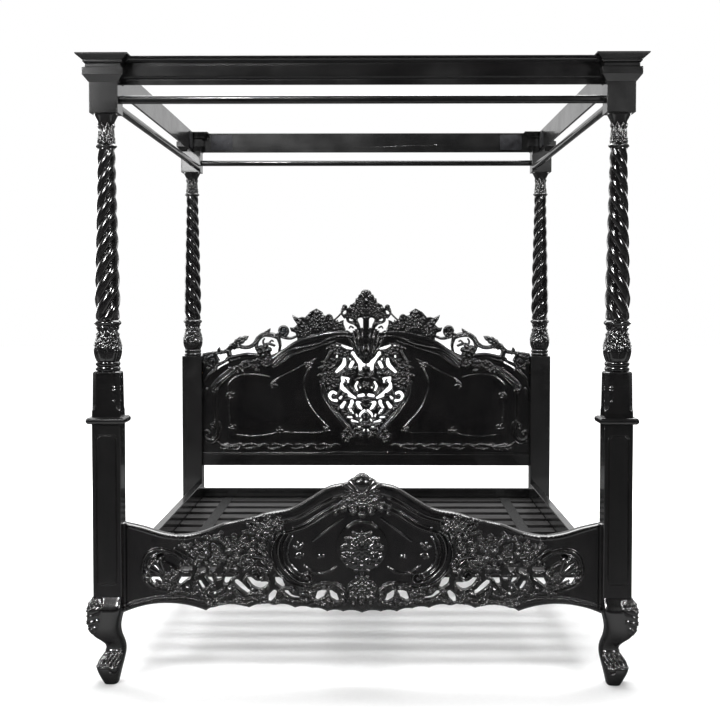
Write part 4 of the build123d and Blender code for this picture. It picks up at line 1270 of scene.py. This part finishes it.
foot = Relief(HALF_WIDTH, 212, 675, FIELD, 1.8)
right_top = [(x * 1000, z * 1000) for x, z in smooth_path(mm(with_mirror(foot_top)))]
arch = [(900, 515), (900, 180)] + arc_through((765, 223), (600, 253), (500, 230))
apron_half = scalloped([(x, z) for x, z in foot_apron[::-1]], -0.1)
lower = arch + apron_half[1:]
lower += [(-x, z) for x, z in lower[-2::-1]]
foot_board = inside_outline(mm(right_top + lower), foot.grid_x, foot.grid_z)
foot.solid = foot_board.copy()
shell_half = scalloped([(76, 612), (52, 636), (25, 658), (0, 672)], -0.12)
foot_shell = shell_half + [(-x, z) for x, z in shell_half[-2::-1]]
foot_shell = mm(foot_shell + arc_through((-76, 612), (0, 590), (76, 612)))
in_shell = inside_outline(foot_shell, foot.grid_x, foot.grid_z)
foot.solid = np.maximum(foot.solid, in_shell)

# Openings
for points, width in [
    ([(80, 265), (92, 280), (100, 292)], [12, 24, 10]),
    ([(118, 292), (130, 285), (143, 270)], [10, 28, 14]),
    ([(203, 272), (225, 276), (242, 290)], [7, 10, 14]),
    ([(256, 312), (268, 328), (275, 340)], [16, 26, 12]),
    ([(280, 290), (288, 278), (295, 262)], [14, 22, 10]),
    ([(306, 318), (325, 312), (345, 318), (362, 335)], [12, 26, 20, 14]),
    ([(322, 340), (330, 334), (340, 341)], 9), ([(366, 290), (380, 303), (402, 322)], [14, 20, 18]),
    ([(410, 341), (428, 338), (436, 322)], [8, 20, 14]), ([(455, 338), (463, 335)], 11),
    ([(481, 325), (492, 338), (498, 343)], [10, 16, 8]), ([(510, 305), (520, 322)], [12, 12]),
    ([(474, 372), (480, 366)], 15), ([(508, 362), (518, 358)], 13), ([(552, 366), (576, 365)], 14),
    ([(510, 404), (520, 406)], 10), ([(464, 406), (474, 408)], 11),
    ([(555, 342), (570, 335), (585, 318)], [14, 18, 10]),
    ([(645, 325), (665, 340), (680, 345)], [8, 20, 8]), ([(668, 322), (678, 335)], [12, 8]),
    ([(312, 385), (325, 398), (350, 402)], [4, 6, 5]), ([(327, 362), (330, 360)], 6),
    ([(470, 288), (475, 282)], 7),
]:
    foot.pierce(points, width)

# Plain cross-banding and mouldings that follow the top
foot.stroke([(60, 622), (110, 606), (165, 570), (225, 538), (290, 527)], [36, 36, 30, 26], 32, 27)
foot.stroke([(70, 634), (112, 623), (170, 587), (230, 555), (300, 542), (345, 530)],
            [7, 8, 8, 8, 6], 36)
foot.stroke([(85, 592), (125, 571), (160, 549), (200, 529), (250, 516)], [7, 9, 9, 6], 36, 28)
foot.stroke([(95, 600), (135, 579), (170, 557), (205, 538), (250, 526)], [4, 4, 4, 3], 34, 30)
foot.stroke([(60, 566), (105, 546), (140, 523), (180, 500), (215, 488), (250, 478)], [7, 9, 9, 8], 36)
foot.stroke([(70, 576), (112, 555), (148, 532), (186, 509), (220, 497)], [4, 5, 4], 33)
foot.stroke([(60, 530), (95, 503), (125, 480), (158, 455)], [3, 4, 3], 29.5)
foot.stroke([(400, 517), (440, 507), (510, 480), (575, 469), (640, 477), (700, 495), (765, 510)],
            [6, 8, 8, 8], 36)
foot.stroke([(520, 470), (575, 461), (640, 468), (700, 486), (750, 500)], [3, 4, 3], 31)

# Curved mouldings beside the middle, ending in a scroll
foot.stroke([(246, 482), (263, 455), (268, 425), (262, 390), (245, 360), (215, 333), (187, 322)],
            [8, 10, 10, 10, 9], 37)
foot.stroke([(262, 480), (284, 445), (288, 405), (276, 365), (252, 335), (222, 315), (185, 307)],
            [6, 8, 8, 7], 36)
foot.stroke([(232, 478), (248, 452), (252, 418), (245, 382), (226, 356), (200, 340)], [4, 6, 6, 5], 34)
foot.stroke([(222, 470), (235, 445), (238, 415), (230, 385), (212, 362), (192, 350)], [3, 4, 4, 3], 32)
foot.scroll((176, 338), 19, 300, -1.3, 9, 37)
foot.stroke([(84, 372), (105, 358), (132, 352), (160, 358), (184, 376)], [4, 5, 5, 5, 4], 32)

# Scattered sprigs on the plain field
for centre, turn, length in [((130, 405), 90, 10), ((200, 430), 75, 26), ((203, 415), 250, 18)]:
    for bend in (-50, 0, 50):
        angle = math.radians(turn + bend)
        tip = (centre[0] + length * math.cos(angle), centre[1] + length * math.sin(angle))
        between = ((centre[0] + tip[0]) / 2 + 1, (centre[1] + tip[1]) / 2 + 1)
        foot.leaf([centre, between, tip], 9, 32, 3)
foot.boss((126, 406), 4, 32)
foot.boss((138, 404), 4, 32)


def spray(relief, centre, count, start, end, inner, outer, width, top, lobes=3, base=None):
    """Leaves that spread from round a centre, between two angles in degrees."""
    for k in range(count):
        angle = math.radians(start + (end - start) * (k + 0.5) / count)
        bend = math.radians(10)
        points = []
        for reach, lean in ((inner, 0), ((inner + outer) / 2, bend), (outer, 0)):
            across_reach = reach * math.cos(angle + lean)
            up_reach = reach * math.sin(angle + lean)
            points.append((centre[0] + across_reach, centre[1] + up_reach))
        relief.leaf(points, width, top, lobes, base)


# Middle ornament, on its applied oval, and the leaves above and below it
spray(foot, (0, 424), 13, -90, 270, 36, 70, 24, 34, 4)
spray(foot, (0, 426), 9, -90, 270, 20, 52, 22, 36, 3, 29)
foot.flower((0, 428), 24, 37, 8, 0.0, 29)
foot.flower((42, 448), 13, 36, 5, 0.3, 28)
foot.flower((44, 404), 12, 36, 5, 0.1, 28)
foot.flower((0, 474), 12, 36, 5, 0.2, 28)
foot.flower((24, 382), 11, 36, 5, 0.5, 28)
spray(foot, (0, 560), 9, 0, 180, 22, 76, 28, 36, 4, 28)
spray(foot, (0, 585), 7, 15, 165, 18, 66, 26, 38, 4, 29)
foot.fan((0, 600), 14, 74, 28, 152, 9, 38, 29)
foot.boss((0, 638), 22, 38)
foot.flower((0, 575), 20, 38, 6, 0.0, 29)
for x, z, radius in [(42, 585, 12), (60, 560, 12), (88, 566, 9), (84, 545, 8), (30, 548, 11),
                     (0, 540, 11)]:
    foot.flower((x, z), radius, 36, 5, 0.02 * x, 28)
foot.stroke([(0, 520), (25, 515), (45, 500)], [8, 7, 5], 35)

# Foot of the middle, down to the apron
foot.stroke([(0, 368), (2, 348), (0, 325)], [4, 7, 8], 34)
foot.leaf([(0, 335), (0, 295), (0, 240)], 38, 36, 5)
for points, width, lobes in [
    ([(10, 322), (30, 318), (46, 300)], 18, 3), ([(10, 312), (30, 292), (45, 262)], 22, 4),
    ([(8, 290), (25, 265), (30, 238)], 20, 3), ([(60, 300), (62, 275), (55, 250)], 20, 3),
    ([(70, 312), (95, 305), (112, 298)], 16, 3), ([(118, 300), (135, 308), (152, 300)], 16, 3),
    ([(108, 296), (108, 275), (110, 245)], 20, 3), ([(65, 260), (85, 252), (105, 245)], 20, 3),
    ([(150, 295), (160, 275), (150, 255)], 20, 3), ([(118, 252), (145, 256), (170, 250)], 20, 3),
    ([(160, 290), (180, 300), (200, 292)], 18, 3), ([(170, 262), (195, 262), (215, 256)], 18, 3),
    ([(170, 280), (190, 283), (205, 278)], 12, 3), ([(215, 262), (240, 270), (262, 262)], 22, 3),
    ([(215, 292), (235, 302), (250, 296)], 16, 3), ([(262, 262), (280, 252), (300, 250)], 18, 3),
    ([(300, 262), (318, 255), (335, 246)], 18, 3), ([(250, 300), (262, 290), (268, 272)], 16, 3),
    ([(66, 308), (88, 318), (112, 318)], 12, 3),
]:
    foot.leaf(points, width, 36, lobes)
for x, z, radius in [
    (22, 318, 9), (30, 278, 9), (75, 305, 8), (110, 262, 9), (188, 285, 8), (240, 285, 7),
    (283, 262, 8), (16, 338, 5), (150, 312, 8), (62, 282, 8),
]:
    foot.flower((x, z), radius, 37, 5, 0.05 * z)
foot.stroke([(60, 300), (95, 318), (130, 318), (165, 305), (205, 305)], [6, 8, 8, 6], 35)

# Leaf knot on the top edge
for points, width in [
    ([(285, 500), (300, 520), (318, 545)], 24), ([(290, 492), (320, 505), (350, 530)], 26),
    ([(300, 485), (330, 490), (372, 512)], 24), ([(280, 505), (270, 520), (262, 538)], 20),
    ([(275, 490), (262, 498), (252, 512)], 18), ([(340, 515), (365, 522), (392, 518)], 18),
    ([(285, 480), (290, 465), (285, 448)], 20), ([(300, 480), (312, 465), (310, 445)], 20),
]:
    foot.leaf(points, width, 37, 4)
foot.flower((300, 500), 14, 38, 6, 0.2)
foot.flower((330, 512), 10, 37, 5)
foot.flower((268, 506), 9, 37, 5)

# Carved and pierced ends
ring = [(704, 372), (690, 410), (655, 428), (610, 420), (575, 398), (556, 372)]
foot.stroke(ring, [5, 8, 8, 7, 6], 36)
foot.stroke([(704, 372), (702, 345), (685, 318), (650, 300), (610, 298)], [8, 8, 7, 5], 36)
foot.stroke([(690, 372), (678, 398), (650, 412), (615, 404), (590, 385)], [4, 5, 5, 4], 33)
foot.stroke([(588, 378), (612, 394), (645, 402)], [26, 30, 22], 15, 15)
foot.fan((628, 338), 8, 72, -8, 82, 6, 36, 22)
foot.stroke([(352, 258), (390, 248), (430, 244), (475, 252), (512, 282), (530, 325)],
            [12, 24, 30, 28, 22, 10], 37, 24, "leaf")
for points, width in [
    ([(600, 322), (620, 334), (640, 332)], 22), ([(610, 305), (640, 312), (662, 312)], 20),
    ([(592, 345), (604, 358), (608, 375)], 20), ([(585, 305), (600, 325), (598, 350)], 22),
]:
    foot.leaf(points, width, 36, 4)
foot.flower((622, 346), 12, 36, 6)

foot.stroke([(366, 345), (378, 325), (372, 300), (345, 285), (318, 292)], [10, 13, 12, 9],
            37, 25, "leaf")
foot.stroke([(300, 300), (302, 340), (318, 365), (350, 372), (378, 360)], [9, 12, 12, 10],
            37, 25, "leaf")
foot.scroll((338, 343), 15, 20, 1.2, 8, 36, 25, wood=True)
foot.stroke([(400, 345), (412, 320), (405, 290), (380, 272), (345, 270)], [10, 14, 13, 10],
            37, 25, "leaf")
foot.stroke([(445, 345), (440, 310), (455, 290), (485, 285), (505, 300)], [9, 13, 12, 9],
            37, 25, "leaf")
foot.stroke([(470, 345), (476, 320), (495, 300), (505, 285)], [9, 12, 10], 36, 25, "leaf")
foot.stroke([(530, 345), (538, 318), (528, 292), (505, 272)], [10, 13, 10], 37, 25, "leaf")
foot.stroke([(595, 345), (602, 315), (585, 292), (550, 288)], [9, 12, 9], 36, 25, "leaf")
foot.stroke([(300, 380), (318, 402), (350, 412), (372, 402)], [7, 10, 8], 36, 25)
foot.stroke([(548, 395), (570, 412), (600, 428)], [5, 7, 5], 36)
foot.stroke([(535, 402), (560, 422), (585, 440)], [4, 6, 4], 34)
for x, z, radius in [
    (318, 438, 15), (345, 455, 12), (378, 462, 11), (352, 425, 14), (330, 470, 10), (388, 432, 14),
    (365, 392, 13), (400, 400, 14), (425, 425, 14), (445, 398, 15), (462, 432, 12), (468, 465, 10),
    (430, 460, 9), (410, 470, 8), (405, 365, 13), (432, 365, 12), (478, 388, 12), (498, 415, 12),
    (520, 395, 11), (530, 430, 11), (500, 445, 9), (560, 355, 11), (545, 415, 9), (520, 355, 10),
    (485, 350, 8), (390, 380, 9), (580, 372, 9), (310, 410, 9), (425, 300, 11), (350, 300, 9),
    (560, 305, 9), (478, 305, 8), (450, 480, 7),
]:
    foot.flower((x, z), radius, 37, 5 + (x + z) % 2, 0.03 * x, 26)
for points, width in [
    ([(330, 420), (315, 440), (308, 465)], 22), ([(360, 440), (385, 448), (405, 462)], 22),
    ([(395, 415), (410, 440), (412, 465)], 22), ([(375, 405), (385, 385), (375, 365)], 20),
    ([(415, 400), (425, 380), (418, 360)], 22), ([(450, 410), (470, 425), (478, 450)], 22),
    ([(455, 385), (480, 372), (505, 388)], 20), ([(500, 400), (525, 415), (550, 412)], 20),
    ([(420, 445), (445, 455), (462, 480)], 20), ([(500, 430), (525, 445), (535, 462)], 18),
    ([(520, 375), (540, 388), (562, 390)], 16), ([(340, 390), (355, 380), (345, 365)], 16),
    ([(480, 460), (500, 470), (520, 468)], 16), ([(560, 430), (575, 445), (570, 460)], 14),
    ([(345, 480), (365, 485), (385, 480)], 16), ([(315, 300), (330, 275), (355, 262)], 18),
    ([(390, 270), (410, 255), (440, 262)], 20), ([(455, 268), (475, 258), (500, 262)], 18),
    ([(520, 300), (540, 282), (565, 285)], 18), ([(580, 300), (605, 286), (630, 290)], 16),
    ([(545, 445), (565, 432), (590, 440)], 14), ([(300, 355), (292, 380), (300, 402)], 18),
    ([(305, 280), (322, 268), (345, 262)], 16), ([(420, 285), (445, 275), (465, 285)], 16),
]:
    foot.leaf(points, width, 36, 4, 26)

# Bead course along the arch of the lower edge
foot.beads([(490, 250), (530, 262), (570, 268), (612, 269), (660, 264), (720, 250), (765, 238)],
           9.4, 3.5, 38)
foot.stroke([(490, 261), (530, 273), (600, 280), (660, 275), (720, 262), (765, 249)], [3, 3, 3], 30)
foot.stroke([(757, 225), (757, 520)], 3, 25, 27, straight=True)

foot_finished = foot.finished(3.5, 4)
across = np.repeat(foot_finished[0][:, None], len(foot_finished[1]), 1)
upright = np.repeat(foot_finished[1][None, :], len(foot_finished[0]), 0)
shell_region = full_width(in_shell)
board_region = np.minimum(full_width(foot_board), HALF_WIDTH * MM - np.abs(across))
below_shell = np.minimum(board_region, -shell_region)
foot_split = 300.6 * MM
for node, region in [
    ("footboard_crest", shell_region),
    ("footboard_centre_panel", np.minimum(below_shell, foot_split - np.abs(across))),
    ("footboard_carved_end_left", np.minimum(board_region, -across - foot_split)),
    ("footboard_carved_end_right", np.minimum(board_region, across - foot_split)),
]:
    carve(foot_finished, region, FOOT_BACK_Y, node)

# The applied oval in the middle stands proud of the board
OVAL_HALF_WIDTH = 80 * MM
OVAL_HALF_HEIGHT = 78 * MM
OVAL_MIDDLE_Z = 440 * MM
BOARD_THICKNESS = 38 * MM
oval = 1 - np.hypot(across / OVAL_HALF_WIDTH, (upright - OVAL_MIDDLE_Z) / OVAL_HALF_HEIGHT)
oval_relief = 0.7 * np.clip(foot_finished[3] - FIELD * MM, 0, None)
oval_plate = 1.5 * MM * np.sqrt(np.clip(oval * 3, 0, 1))
oval_board = (foot_finished[0], foot_finished[1], oval * OVAL_HALF_HEIGHT, oval_relief + oval_plate)
everywhere = np.full(oval.shape, 1.0)
carve(oval_board, everywhere, FOOT_BACK_Y - BOARD_THICKNESS, "footboard_cartouche")
